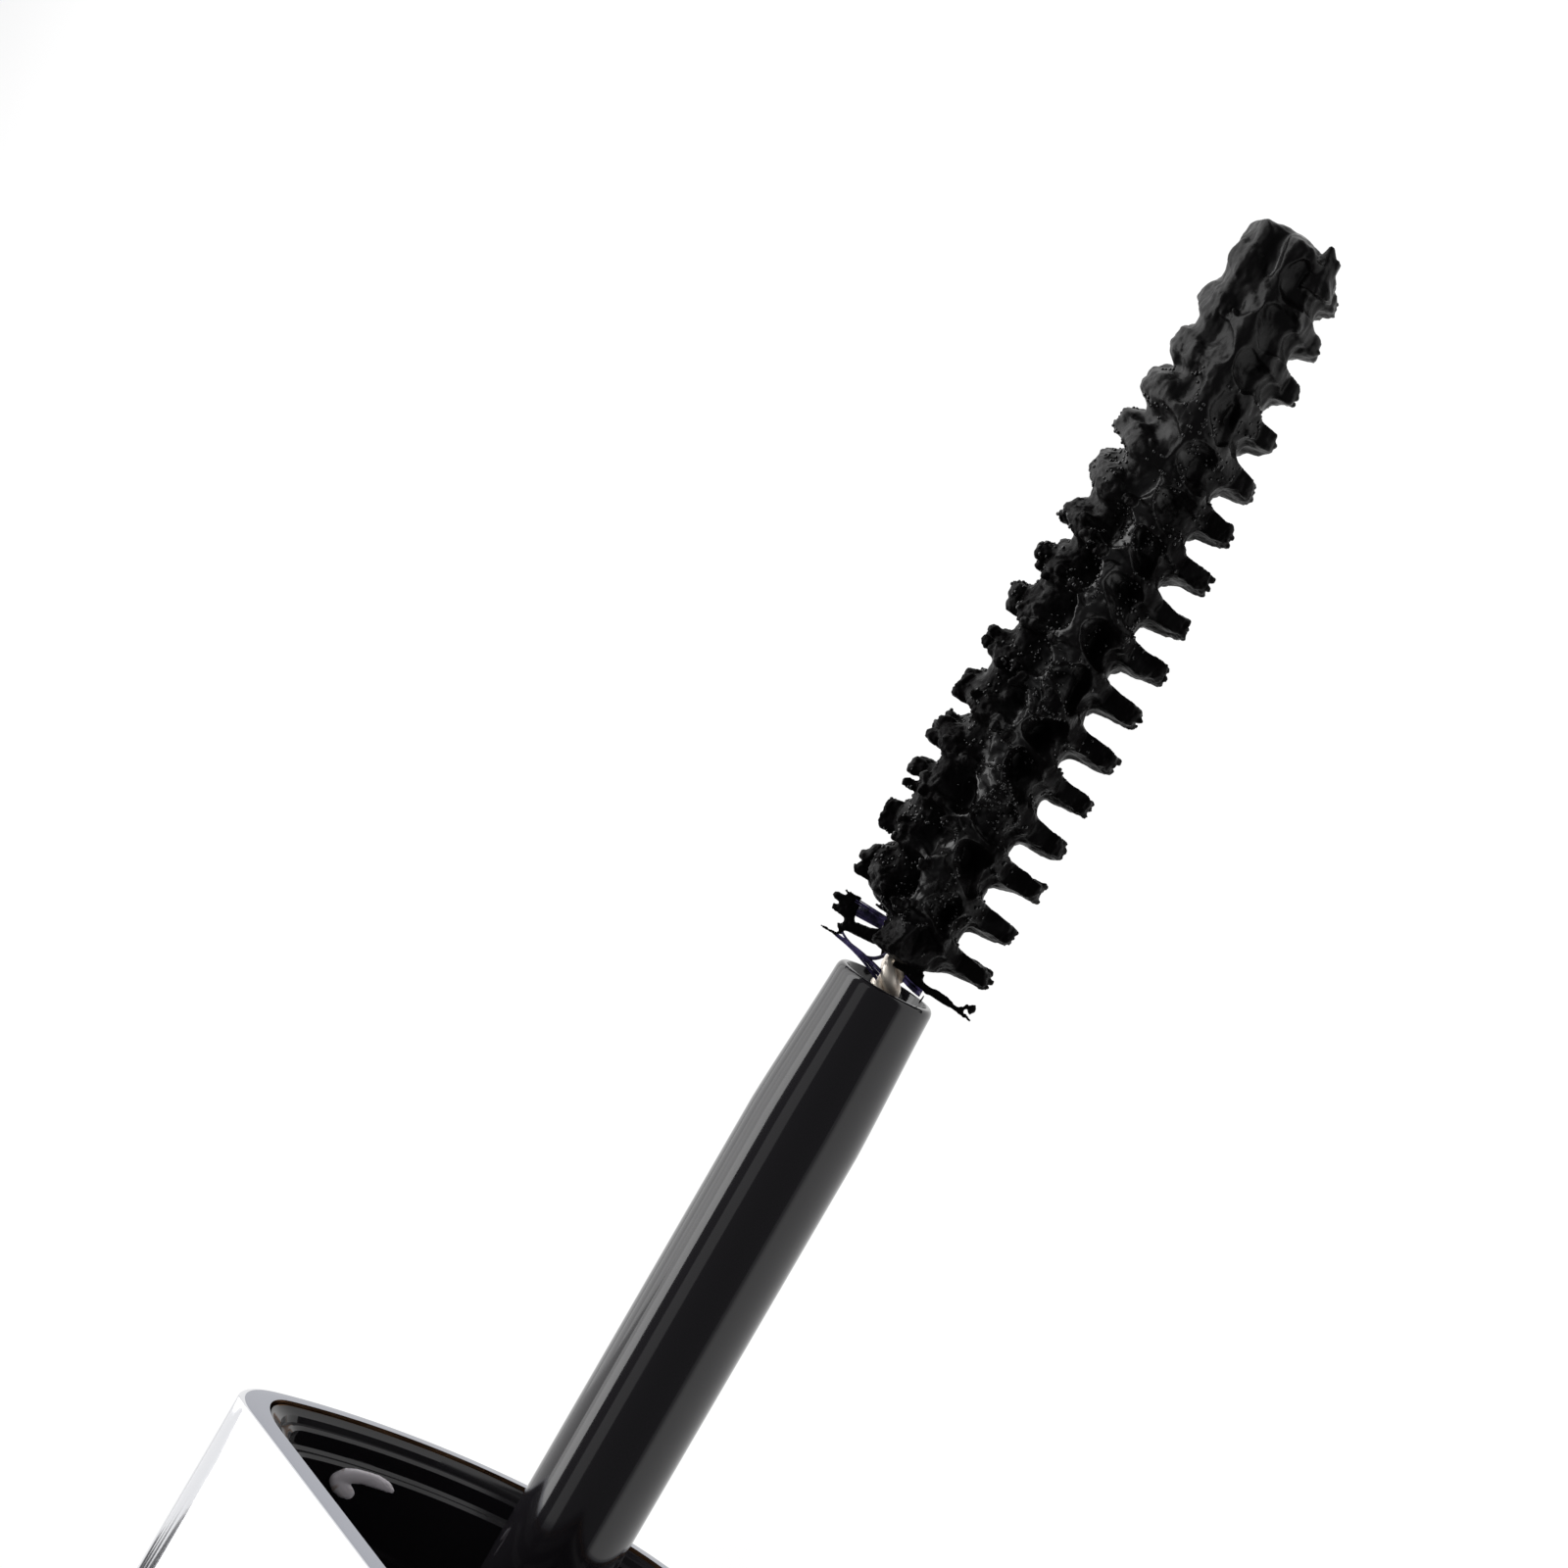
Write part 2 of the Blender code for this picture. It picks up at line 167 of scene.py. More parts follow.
def ramp_to(tree, value, socket, low, high):
    """Maps a 0 to 1 pattern onto a range and feeds it to a socket."""
    spread = tree.nodes.new("ShaderNodeMapRange")
    spread.inputs["From Min"].default_value = 0.3
    spread.inputs["From Max"].default_value = 0.7
    spread.inputs["To Min"].default_value = low
    spread.inputs["To Max"].default_value = high
    tree.links.new(value, spread.inputs["Value"])
    tree.links.new(spread.outputs["Result"], socket)


def bump(tree, shader, height, strength, distance):
    """Fine relief from a height pattern."""
    relief = tree.nodes.new("ShaderNodeBump")
    relief.inputs["Strength"].default_value = strength
    relief.inputs["Distance"].default_value = distance
    tree.links.new(height, relief.inputs["Height"])
    tree.links.new(relief.outputs["Normal"], shader.inputs["Normal"])


def silver_plating():
    """Mirror-bright plating with faint polishing marks along the sleeve."""
    made, tree, shader, where = new_material("silver plating", (0.72, 0.725, 0.745), 0.05, 1.0)
    marks = noise_node(tree, where, 900, 2.0, (0.05, 1, 1))
    ramp_to(tree, marks, shader.inputs["Roughness"], 0.035, 0.075)
    bump(tree, shader, marks, 0.03, 0.02 * MM)
    return made


def cut_edge():
    """Bare cut metal at the rim, finely turned and duller than the plating."""
    made, tree, shader, where = new_material("cut metal edge", (0.33, 0.34, 0.38), 0.16, 1.0)
    marks = noise_node(tree, where, 700, 2.0)
    ramp_to(tree, marks, shader.inputs["Roughness"], 0.13, 0.2)
    return made


def inside_lacquer():
    """Warm brown lacquer on the sleeve's inside, which shows as a thin line under the rim."""
    made, tree, shader, where = new_material("inside lacquer", (0.55, 0.30, 0.16), 0.3, 1.0)
    cloud = noise_node(tree, where, 500, 2.0)
    ramp_to(tree, cloud, shader.inputs["Roughness"], 0.22, 0.4)
    return made


SILVER = silver_plating()
LACQUER = inside_lacquer()
CUT_EDGE = cut_edge()


def sleeve(name, rim, end, body):
    """A D-shaped sleeve from its rim to its far end, with rounded edges and an open bore."""
    heading = 1 if end > rim else -1
    length = abs(end - rim)
    steps = 24
    mesh = bmesh.new()
    ring = start_ring(mesh, d_ring(rim, SLEEVE_WALL, FLAT_WALL))
    inner_mouth = ring
    path = [(0.0, SLEEVE_WALL, FLAT_WALL, 0.0)]
    for k in range(1, 6):
        angle = math.pi / 2 * k / 5
        inset = RIM_ROUND * (1 - math.sin(angle))
        path.append((RIM_ROUND * (1 - math.cos(angle)), inset, inset, 0.0))
    path[1:1] = [(0.0, RIM_ROUND, RIM_ROUND, 0.0)]
    for k in range(1, steps):
        share = k / steps
        path.append((RIM_ROUND + (length - 2 * RIM_ROUND) * share, 0.0, 0.0, share))
    for k in range(6):
        angle = math.pi / 2 * k / 5
        inset = RIM_ROUND * (1 - math.cos(angle))
        path.append((length - RIM_ROUND + RIM_ROUND * math.sin(angle), inset, inset, 0.0))
    path.append((length, SLEEVE_WALL, FLAT_WALL, 0.0))
    for k in range(1, steps):
        share = 1 - k / steps
        path.append((length * share, SLEEVE_WALL, FLAT_WALL, share))
    finishes = []
    for depth, inset, flat_inset, share in path[1:]:
        ring = extrude_ring(mesh, ring, d_ring(rim + heading * depth, inset, flat_inset, share))
        finish = 1 if depth == 0.0 else 2 if inset >= SLEEVE_WALL and depth < length else 0
        finishes += [finish] * (len(mesh.faces) - len(finishes))
    last = [mesh.edges.get((ring[k - 1], ring[k])) for k in range(len(ring))]
    first = [mesh.edges.get((inner_mouth[k - 1], inner_mouth[k])) for k in range(len(ring))]
    bmesh.ops.bridge_loops(mesh, edges=first + last)
    finishes += [2] * (len(mesh.faces) - len(finishes))
    for wall, finish in zip(mesh.faces, finishes):
        wall.material_index = finish
    piece = finish_piece(name, mesh, body, SILVER)
    piece.data.materials.append(CUT_EDGE)
    piece.data.materials.append(LACQUER)
    return piece


cap_sleeve = sleeve("cap_sleeve", rim_x, cap_low.x, "applicator")
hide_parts("cap_shell")


# The cap's end plate. A D-shaped disc of the same plated metal, pressed in to close the far end.
def end_plate(name, node, body):
    """A D-shaped plate with rounded edges in the place of its node."""
    low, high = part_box(node)
    inset = SLEEVE_WALL + 0.3 * MM
    flat_inset = FLAT_WALL + 0.3 * MM
    mesh = bmesh.new()
    ring = start_ring(mesh, d_ring(low.x, inset + RIM_ROUND, flat_inset + RIM_ROUND))
    bmesh.ops.edgeloop_fill(mesh, edges=mesh.edges)
    for x, more in ((low.x + RIM_ROUND, 0.0), (high.x - RIM_ROUND, 0.0), (high.x, RIM_ROUND)):
        ring = extrude_ring(mesh, ring, d_ring(x, inset + more, flat_inset + more))
    bmesh.ops.edgeloop_fill(mesh, edges=[mesh.edges.get((ring[k - 1], ring[k])) for k in range(len(ring))])
    piece = finish_piece(name, mesh, body, SILVER)
    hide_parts(node)
    return piece


end_plate("cap_end_disc", "cap_end_plate", "applicator")


# The cap's weight. A plain steel block hidden behind the lining, which makes the cap feel solid.
def turned_steel():
    """Plain machined steel with fine turning marks."""
    made, tree, shader, where = new_material("machined steel", (0.45, 0.45, 0.47), 0.38, 1.0)
    marks = noise_node(tree, where, 2500, 2.0, (1, 0.1, 0.1))
    ramp_to(tree, marks, shader.inputs["Roughness"], 0.3, 0.5)
    return made


def carry_over(node, finish):
    """A CAD node that keeps its shape and gets a finish."""
    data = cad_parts[node].data
    data.materials.clear()
    data.materials.append(finish)


carry_over("cap_weight", turned_steel())


# The cap's lining. Glossy black plastic moulded as a D-shaped cup with a stepped edge, pushed into
# the sleeve until it lies just under the rim.
def gloss_black(name="gloss black plastic", roughness=0.09):
    """Polished black moulded plastic with a faint flow pattern in its gloss."""
    made, tree, shader, where = new_material(name, (0.011, 0.010, 0.012), roughness)
    flow = noise_node(tree, where, 260, 3.0)
    ramp_to(tree, flow, shader.inputs["Roughness"], roughness * 0.8, roughness * 1.5)
    bump(tree, shader, flow, 0.05, 0.05 * MM)
    return made


LINING_DROP = 0.14 * MM
LINING_LIP = 0.42 * MM
LINING_WALL = 0.72 * MM
LINING_STEP_DEPTH = 1.4 * MM
LINING_STEP = 0.4 * MM
LINING_ROUND = 0.12 * MM
GLOSS_BLACK = gloss_black()
lining_low, lining_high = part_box("cap_liner")
insert_low, insert_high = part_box("thread_insert")
lining_floor = insert_low.x - 0.3 * MM
lining_gap = SLEEVE_WALL + 0.08 * MM
lining_flat_gap = FLAT_WALL + 0.08 * MM
mesh = bmesh.new()
ring = start_ring(mesh, d_ring(lining_low.x, lining_gap, lining_flat_gap))
bmesh.ops.edgeloop_fill(mesh, edges=mesh.edges)
lining_path = [
    (rim_x - LINING_DROP, 0.0),
    (rim_x - LINING_DROP, 0.05 * MM),
    (rim_x - LINING_DROP - 0.04 * MM, 0.09 * MM),
    (rim_x - LINING_DROP - LINING_LIP * 0.45, 0.33 * MM),
    (rim_x - LINING_DROP - LINING_LIP, 0.42 * MM),
    (rim_x - LINING_DROP - LINING_LIP, 0.60 * MM),
    (rim_x - LINING_DROP - LINING_LIP - LINING_ROUND, LINING_WALL),
    (rim_x - LINING_STEP_DEPTH + LINING_ROUND, LINING_WALL),
    (rim_x - LINING_STEP_DEPTH, LINING_WALL + LINING_ROUND),
    (rim_x - LINING_STEP_DEPTH, LINING_WALL + LINING_STEP - LINING_ROUND),
    (rim_x - LINING_STEP_DEPTH - LINING_ROUND, LINING_WALL + LINING_STEP),
    (lining_floor + LINING_ROUND, LINING_WALL + LINING_STEP),
    (lining_floor, LINING_WALL + LINING_STEP + LINING_ROUND),
]
for x, inset in lining_path:
    ring = extrude_ring(mesh, ring, d_ring(x, lining_gap + inset, lining_flat_gap + inset))
bmesh.ops.edgeloop_fill(mesh, edges=[mesh.edges.get((ring[k - 1], ring[k])) for k in range(len(ring))])
lining = finish_piece("cap_lining", mesh, "applicator", GLOSS_BLACK)
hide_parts("cap_liner")


# A dab of residue on the lining's wall, just under the step. It is a soft, glossy, mauve-grey smear in the shape of a
# C, made from overlapping drops that are merged and pressed on the wall. Its pale mauve-grey colour is a painted
# highlight, and its gloss also catches the panels' real reflection.
RESIDUE_DROPS = (
    (1.50, 1.84, 0.14), (1.85, 1.74, 0.24), (2.35, 1.68, 0.30), (2.85, 1.68, 0.30), (3.3, 1.74, 0.34),
    (3.65, 1.86, 0.38), (3.85, 2.05, 0.38), (3.65, 2.25, 0.38), (3.35, 2.40, 0.34), (3.0, 2.52, 0.22),
)


def residue_painted_highlight():
    """Pale mauve-grey colour that paints in a highlight, with brown patches laid by noise, which are glossier than the
    rest.
    """
    made, tree, shader, where = new_material("residue painted highlight", (0.50, 0.47, 0.50), 0.22)
    cloud = noise_node(tree, where, 1800, 3.0)
    # Painted highlight: the pale stop lights most of the smear, and the brown stop marks its patches.
    tint = tree.nodes.new("ShaderNodeValToRGB")
    tint.color_ramp.elements[0].position = 0.30
    tint.color_ramp.elements[0].color = (0.60, 0.50, 0.45, 1.0)
    tint.color_ramp.elements[1].position = 0.40
    tint.color_ramp.elements[1].color = (0.95, 0.90, 0.95, 1.0)
    tree.links.new(cloud, tint.inputs["Fac"])
    tree.links.new(tint.outputs["Color"], shader.inputs["Base Color"])
    ramp_to(tree, cloud, shader.inputs["Roughness"], 0.15, 0.35)
    return made


drops = bmesh.new()
for first, second in zip(RESIDUE_DROPS, RESIDUE_DROPS[1:]):
    for share in (0.0, 0.25, 0.5, 0.75):
        up, depth, size = (Vector(first) + (Vector(second) - Vector(first)) * share)
        place = Matrix.Translation((-depth, 8.02 + 0.165 * (up - 1.6), up)) @ Matrix.Diagonal((1, 0.42, 1, 1))
        bmesh.ops.create_icosphere(drops, subdivisions=2, radius=size, matrix=place)
drop_data = bpy.data.meshes.new("drops")
drops.to_mesh(drop_data)
drops.free()
drop_source = bpy.data.objects.new("drops", drop_data)
bpy.context.scene.collection.objects.link(drop_source)
merge = drop_source.modifiers.new("merge", "REMESH")
merge.mode = "VOXEL"
merge.voxel_size = 0.04
ease = drop_source.modifiers.new("ease", "SMOOTH")
ease.iterations = 6
merged = bpy.data.meshes.new_from_object(drop_source.evaluated_get(bpy.context.evaluated_depsgraph_get()))
bpy.data.objects.remove(drop_source)
mesh = bmesh.new()
mesh.from_mesh(merged)
mesh.transform(Matrix.Translation((rim_x, 0, axis_z)) @ Matrix.Scale(MM, 4))
residue = finish_piece("dried_dab", mesh, "applicator", residue_painted_highlight(), 80)


# The thread ring. A black plastic ring on the lining's floor, with the inside thread that takes the
# tube's neck. Its thread is moulded, so its crests are soft.
THREAD_PITCH = 2.4 * MM
THREAD_DEPTH = 0.3 * MM
INSERT_BORE = 5.45 * MM


def turned(name, profile, body, finish, steps=96, closed=True, sharp=35):
    """A round piece spun about the stem's axis from (x, radius) points."""
    mesh = bmesh.new()
    corners = [mesh.verts.new((x, radius, axis_z)) for x, radius in profile]
    edges = [mesh.edges.new(pair) for pair in zip(corners, corners[1:])]
    if closed:
        edges.append(mesh.edges.new((corners[-1], corners[0])))
    bmesh.ops.spin(
        mesh, geom=corners + edges, cent=(0, 0, axis_z), axis=(1, 0, 0), dvec=(0, 0, 0),
        angle=2 * math.pi, steps=steps, use_merge=True,
    )
    piece = finish_piece(name, mesh, body, finish, sharp)
    return piece


def cut_thread(piece, start, end, radius, depth):
    """Raises a helical ridge on the wall that lies at a radius between two places."""
    for vert in piece.data.vertices:
        y, z = vert.co.y, vert.co.z - axis_z
        if abs(math.hypot(y, z) - radius) > 0.01 * MM or not start <= vert.co.x <= end:
            continue
        phase = (vert.co.x / THREAD_PITCH - math.atan2(z, y) / (2 * math.pi)) % 1.0
        height = max(0.0, min(1.0, 1.8 - 5 * abs(phase - 0.5)))
        height = height * height * (3 - 2 * height)
        ease = min(1.0, (vert.co.x - start) / MM, (end - vert.co.x) / MM)
        grow = 1 + depth * height * ease / radius
        vert.co.y = y * grow
        vert.co.z = axis_z + z * grow


insert_radius = (insert_high.y - insert_low.y) / 2
EDGE = 0.15 * MM
rows = 80
profile = [(insert_low.x, insert_radius), (insert_high.x - EDGE, insert_radius)]
profile += [(insert_high.x, insert_radius - EDGE), (insert_high.x, INSERT_BORE + EDGE)]
for k in range(rows + 1):
    profile.append((insert_high.x - EDGE + (insert_low.x - insert_high.x + EDGE) * k / rows, INSERT_BORE))
thread_ring = turned("cap_thread_ring", profile, "applicator", GLOSS_BLACK)
cut_thread(thread_ring, insert_low.x, insert_high.x - EDGE, INSERT_BORE, -THREAD_DEPTH)
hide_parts("thread_insert")


# The stem. A glossy black moulded rod on a flange, straight and then gently tapered, with a rounded
# end that is hollowed out where the wire is pushed in.
STEM_RADIUS = 2.2 * MM
STEM_END_RADIUS = 1.95 * MM
STEM_TAPER = 6.0 * MM
STEM_FLANGE = 1.0 * MM
RECESS_RADIUS = 1.62 * MM
RECESS_DEPTH = 1.5 * MM
SOCKET_RADIUS = 0.62 * MM
SOCKET_DEPTH = 9.0 * MM
stem_end = stem_high.x
flange_radius = (stem_high.y - stem_low.y) / 2
profile = [(stem_low.x, 0.0), (stem_low.x, flange_radius), (stem_low.x + STEM_FLANGE, flange_radius)]
profile += [(stem_low.x + STEM_FLANGE, STEM_RADIUS + 0.3 * MM), (stem_low.x + STEM_FLANGE + 0.3 * MM, STEM_RADIUS)]
profile += [(stem_end - STEM_TAPER - 2 * MM, STEM_RADIUS)]
for k in range(13):
    share = k / 12
    ease = share * share * (3 - 2 * share) * 0.35 + share * 0.65
    radius = STEM_RADIUS + (STEM_END_RADIUS - STEM_RADIUS) * ease
    profile.append((stem_end - STEM_TAPER + (STEM_TAPER - 0.3 * MM) * share, radius))
for k in range(1, 6):
    angle = math.pi / 2 * k / 5
    profile.append((stem_end - 0.3 * MM + 0.3 * MM * math.sin(angle),
                    STEM_END_RADIUS - 0.18 * MM * (1 - math.cos(angle))))
profile += [(stem_end, RECESS_RADIUS + 0.04 * MM), (stem_end - 0.05 * MM, RECESS_RADIUS)]
profile += [(stem_end - RECESS_DEPTH, RECESS_RADIUS - 0.1 * MM), (stem_end - RECESS_DEPTH - 0.1 * MM, RECESS_RADIUS - 0.2 * MM)]
profile += [(stem_end - RECESS_DEPTH - 0.1 * MM, SOCKET_RADIUS)]
profile += [(stem_end - RECESS_DEPTH - SOCKET_DEPTH, SOCKET_RADIUS), (stem_end - RECESS_DEPTH - SOCKET_DEPTH, 0.0)]
stem = turned("stem_rod", profile, "applicator", gloss_black("gloss black stem", 0.07),
              steps=128, closed=False, sharp=40)
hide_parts("stem")


# The wire core. Two strands of bright steel wire twisted hard together, which grip the bristles
# between them and are pressed into the stem.
TWIST_PITCH = 3.59 * MM
TWIST_START = math.radians(60)
STRAND_RADIUS = 0.31 * MM
STRAND_OFFSET = 0.28 * MM
BASE_PITCH = 1.8 * MM
BASE_REACH = 1.2 * MM
BASE_FRONT = math.radians(150)
wire_low, wire_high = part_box("twisted_wire")
wire_high.x -= 1.0 * MM


def twist(x):
    """Angle of the twist, from +Y towards +Z."""
    return TWIST_START - 2 * math.pi * (x - stem_end) / TWIST_PITCH


def bright_wire():
    """Drawn steel wire with warm tarnish and smears of dried mascara."""
    made, tree, shader, where = new_material("bright wire", (0.75, 0.68, 0.6), 0.45, 0.7)
    smear = noise_node(tree, where, 900, 3.0)
    tint = tree.nodes.new("ShaderNodeValToRGB")
    tint.color_ramp.elements[0].position = 0.24
    tint.color_ramp.elements[0].color = (0.25, 0.17, 0.12, 1.0)
    tint.color_ramp.elements[1].position = 0.44
    tint.color_ramp.elements[1].color = (0.86, 0.79, 0.70, 1.0)
    tree.links.new(smear, tint.inputs["Fac"])
    tree.links.new(tint.outputs["Color"], shader.inputs["Base Color"])
    ramp_to(tree, smear, shader.inputs["Roughness"], 0.55, 0.4)
    return made


mesh = bmesh.new()
for strand in range(2):
    angle = BASE_FRONT + 2 * math.pi * (stem_end + 0.2 * MM - wire_low.x) / BASE_PITCH + math.pi * strand
    offset = Vector((0, math.cos(angle), math.sin(angle))) * STRAND_OFFSET
    lay = math.atan2(2 * math.pi * STRAND_OFFSET, BASE_PITCH)
    tilt = Matrix.Rotation(lay, 4, offset.normalized()) @ Matrix.Rotation(math.pi / 2, 4, "Y")
    place = Matrix.Translation(Vector((wire_low.x, 0, axis_z)) + offset) @ tilt
    disc = bmesh.ops.create_circle(mesh, cap_ends=True, segments=14, radius=STRAND_RADIUS, matrix=place)["verts"]
    face = disc[0].link_faces[0]
    end = [face] + list(face.edges) + disc
    knee = stem_end + BASE_REACH
    for length, pitch in ((knee - wire_low.x, BASE_PITCH), (wire_high.x - knee, TWIST_PITCH)):
        steps = round(length / pitch * 20)
        end = bmesh.ops.spin(
            mesh, geom=end, cent=(0, 0, axis_z), axis=(1, 0, 0), dvec=(length / steps, 0, 0),
            angle=-2 * math.pi * length / pitch, steps=steps, use_merge=False,
        )["geom_last"]
wire = finish_piece("wire_core", mesh, "applicator", bright_wire(), 60)
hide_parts("twisted_wire")


# The brush. Nylon bristles stand out of the twisted wire in two helical blades, and wet mascara
# coats them: it gathers them in fins below and in knobbly fingers above, hangs in webs between the
# turns and buries the last third under a smooth wet layer.
BRUSH_START = 0.95
BRUSH_END = 30.15
BRUSH_REACH = 3.3
TIP_REACH = 2.05
TAPER_START = 15.5
FIN_HALF = 0.36
VALLEY = 1.45
UPPER_VALLEY = 2.35
COAT_VOXEL = 0.065
TIP_DRIFT = 0.3
UPPER_SIDE = math.radians(45)
EYE_SIDE = math.radians(135)
brush_pitch = TWIST_PITCH / MM
chance = random.Random(7)


def smooth_step(low, high, value):
    """An eased step from 0 to 1."""
    share = max(0.0, min(1.0, (value - low) / (high - low)))
    return share * share * (3 - 2 * share)


def reach_at(u):
    """How far the bristles reach, u millimetres from the end of the stem."""
    share = max(0.0, (u - TAPER_START) / (BRUSH_END - TAPER_START))
    return BRUSH_REACH - (BRUSH_REACH - TIP_REACH) * share


def facing(angle, towards):
    """1 on the side of the brush that faces an angle, 0 on the opposite side."""
    return 0.5 + 0.5 * math.cos(angle - towards)


def side_reach(u, angle):
    """The reach on one side: full above, a narrow row of fins below, and matted down between them."""
    below = abs(math.remainder(angle - UPPER_SIDE - math.pi, 2 * math.pi))
    fins = smooth_step(math.radians(21), math.radians(9), below)
    above = smooth_step(math.radians(100), math.radians(55), math.pi - below)
    matted = 0.60 + 0.14 * smooth_step(20.0, 26.0, u)
    return reach_at(u) * (matted + (1 - matted) * max(fins, above))


def beside(angle, degrees, spread):
    """1 at an angle round the brush, fading out over a spread in degrees."""
    return math.exp(-((math.degrees(math.remainder(angle - math.radians(degrees), 2 * math.pi)) / spread) ** 2))


def cup(gap, angle, degrees, wide, tall):
    """Depth of a round-bottomed hollow between two turns, from 0 to 1."""
    away = math.remainder(angle - math.radians(degrees), 2 * math.pi) / math.radians(tall)
    return math.sqrt(max(0.0, 1 - (gap / wide) ** 2 - away * away))


def coat_radius(u, angle):
    """Radius of the coated brush: fins below, hollows in front and behind, thick knobs above."""
    way = Vector((0.0, math.cos(angle), math.sin(angle)))
    coarse = noise.noise(Vector((u * 0.55, 0, 0)) + way * 1.5)
    other = noise.noise(Vector((u * 0.6 + 17, 0, 0)) + way * 1.8)
    fine = noise.noise(Vector((u * 1.7 + 31, 0, 0)) + way * 4.0)
    sway = 0.22 * noise.noise(Vector((u * 0.5 + 5, 0, 0)) + way * 2.0)
    below = math.degrees(abs(math.remainder(angle - math.radians(226), 2 * math.pi)))
    lower = smooth_step(66, 46, below)
    upper = smooth_step(0.74, 0.95, facing(angle, UPPER_SIDE))
    load = smooth_step(17.5, 23.5, u + 5.0 * (facing(angle, UPPER_SIDE) - 0.6))
    turn_share = ((TWIST_START - angle) * brush_pitch / (2 * math.pi) - u + sway * (1 - lower)) / (brush_pitch / 2)
    off = abs(turn_share - round(turn_share)) * brush_pitch / 2
    gap = brush_pitch / 4 - off
    grains = noise.voronoi(Vector((u, 0, 0)) / 0.24 + way * (reach_at(u) / 0.24))[0][0]

    half = FIN_HALF + 0.06 * fine
    rim = min(1.0, gap / (brush_pitch / 4 - half))
    hollow = VALLEY + 0.10 * fine + 0.42 * (1 - math.sqrt(max(0.0, 1 - rim * rim)))
    crest = side_reach(u, angle) * (0.955 + 0.04 * coarse) - 0.12 * grains ** 2
    fins = hollow + (max(hollow, crest) - hollow) * smooth_step(half + 0.11, half - 0.05, off)

    ridge = reach_at(u) * (0.76 + 0.16 * load) + 0.55 * coarse - 0.16 * grains ** 2 * (1 - 0.75 * load)
    deep = (1.15 + 0.9 * other) * (1 - 0.55 * load)
    middle = ridge - deep * cup(gap, angle, 153 + 14 * coarse, 0.80, 25)
    middle -= (1.0 - 0.9 * other) * (1 - 0.6 * load) * cup(gap, angle, 101 + 14 * other, 0.78, 22)
    middle -= deep * cup(gap, angle, 325, 0.78, 30) + 0.6 * cup(gap, angle, 275, 0.7, 24)
    middle -= 0.25 * smooth_step(0.5, 0.9, gap) * (1 - load)

    film = smooth_step(16.0, 23.0, u)
    trough = UPPER_VALLEY + (0.45 - 0.25 * film) * coarse - 0.35 * film - 0.15 * grains ** 2 * (1 - film)
    knob = reach_at(u) * (0.85 + 0.13 * film + 0.10 * other) - (0.28 - 0.14 * film) * grains ** 2
    left = turn_share > round(turn_share)
    foot = 0.66 + 0.12 * fine + (0.24 if left else 0.0) * film
    above = trough + (max(trough, knob) - trough) * smooth_step(foot, 0.26 + 0.08 * film, off)
    above = 1.1 + (above - 1.1) * smooth_step(2.2, 2.9, u)

    radius = middle + (fins - middle) * lower
    radius += (above - radius) * upper
    radius = max(radius, 1.15)
    start = math.sqrt(smooth_step(BRUSH_START, BRUSH_START + 0.45, u))
    last = max(0.0, min(1.0, (u - BRUSH_END + 0.6) / 0.6))
    return radius * start * (1 - last ** 3) ** 0.5


mesh = bmesh.new()
ROWS, AROUND = 560, 300
bmesh.ops.create_grid(mesh, x_segments=ROWS, y_segments=AROUND, size=0.5)
for vert in mesh.verts:
    u = BRUSH_START + (BRUSH_END - BRUSH_START) * (vert.co.x + 0.5)
    angle = 2 * math.pi * (vert.co.y + 0.5)
    radius = coat_radius(u, angle)
    vert.co = (u, radius * math.cos(angle), radius * math.sin(angle))
bmesh.ops.remove_doubles(mesh, verts=mesh.verts, dist=1e-4)

# One finger of bristles: a blunt rod, 9 radii long, which ends at the origin.
blunt = bmesh.new()
bmesh.ops.create_uvsphere(blunt, u_segments=10, v_segments=8, radius=1.0)
for vert in blunt.verts:
    vert.co.z += -1.0 if vert.co.z > -0.01 else -9.0
finger = bpy.data.meshes.new("finger")
blunt.to_mesh(finger)
blunt.free()


def add_finger(mesh, u, angle, reach, thick, lean=0.0):
    """Sets a copy of the finger with its end at a reach from the wire."""
    outward = Vector((lean, math.cos(angle), math.sin(angle))).normalized()
    end = Vector((u, reach * math.cos(angle), reach * math.sin(angle)))
    turn = outward.to_track_quat("Z", "Y").to_matrix().to_4x4()
    copy = finger.copy()
    copy.transform(Matrix.Translation(end) @ turn @ Matrix.Scale(thick, 4))
    mesh.from_mesh(copy)
    bpy.data.meshes.remove(copy)


for k in range(480):
    u = 2.6 + (BRUSH_END - 5.0) * k / 480
    angle = TWIST_START - 2 * math.pi * u / brush_pitch + math.pi * (k % 2)
    angle += chance.uniform(-0.35, 0.35)
    if not 0.62 < facing(angle, UPPER_SIDE) < 0.96:
        continue
    u = u + chance.uniform(-0.22, 0.22)
    late = smooth_step(12.0, 19.0, u)
    reach = reach_at(u) * chance.uniform(0.80 + 0.04 * late, 0.93)
    add_finger(mesh, u, angle, reach, chance.uniform(0.17, 0.25) - 0.05 * late, chance.uniform(-0.07, 0.07))
for k in range(2, 17):
    middle = (TWIST_START - UPPER_SIDE + math.pi * k) * brush_pitch / (2 * math.pi) - 0.08
    late = smooth_step(9.0, 14.0, middle)
    for offset in (-0.42, -0.02, 0.38, 0.18):
        u = middle + offset * (1 - 0.25 * late) + chance.uniform(-0.07, 0.07)
        angle = UPPER_SIDE + chance.uniform(-0.16, 0.16)
        reach = reach_at(u) * (chance.uniform(0.96, 1.01) - (0.05 + 0.08 * late) * abs(offset) / 0.4 * chance.random())
        add_finger(mesh, u, angle, reach, chance.uniform(0.21, 0.29), chance.uniform(-0.05, 0.05))
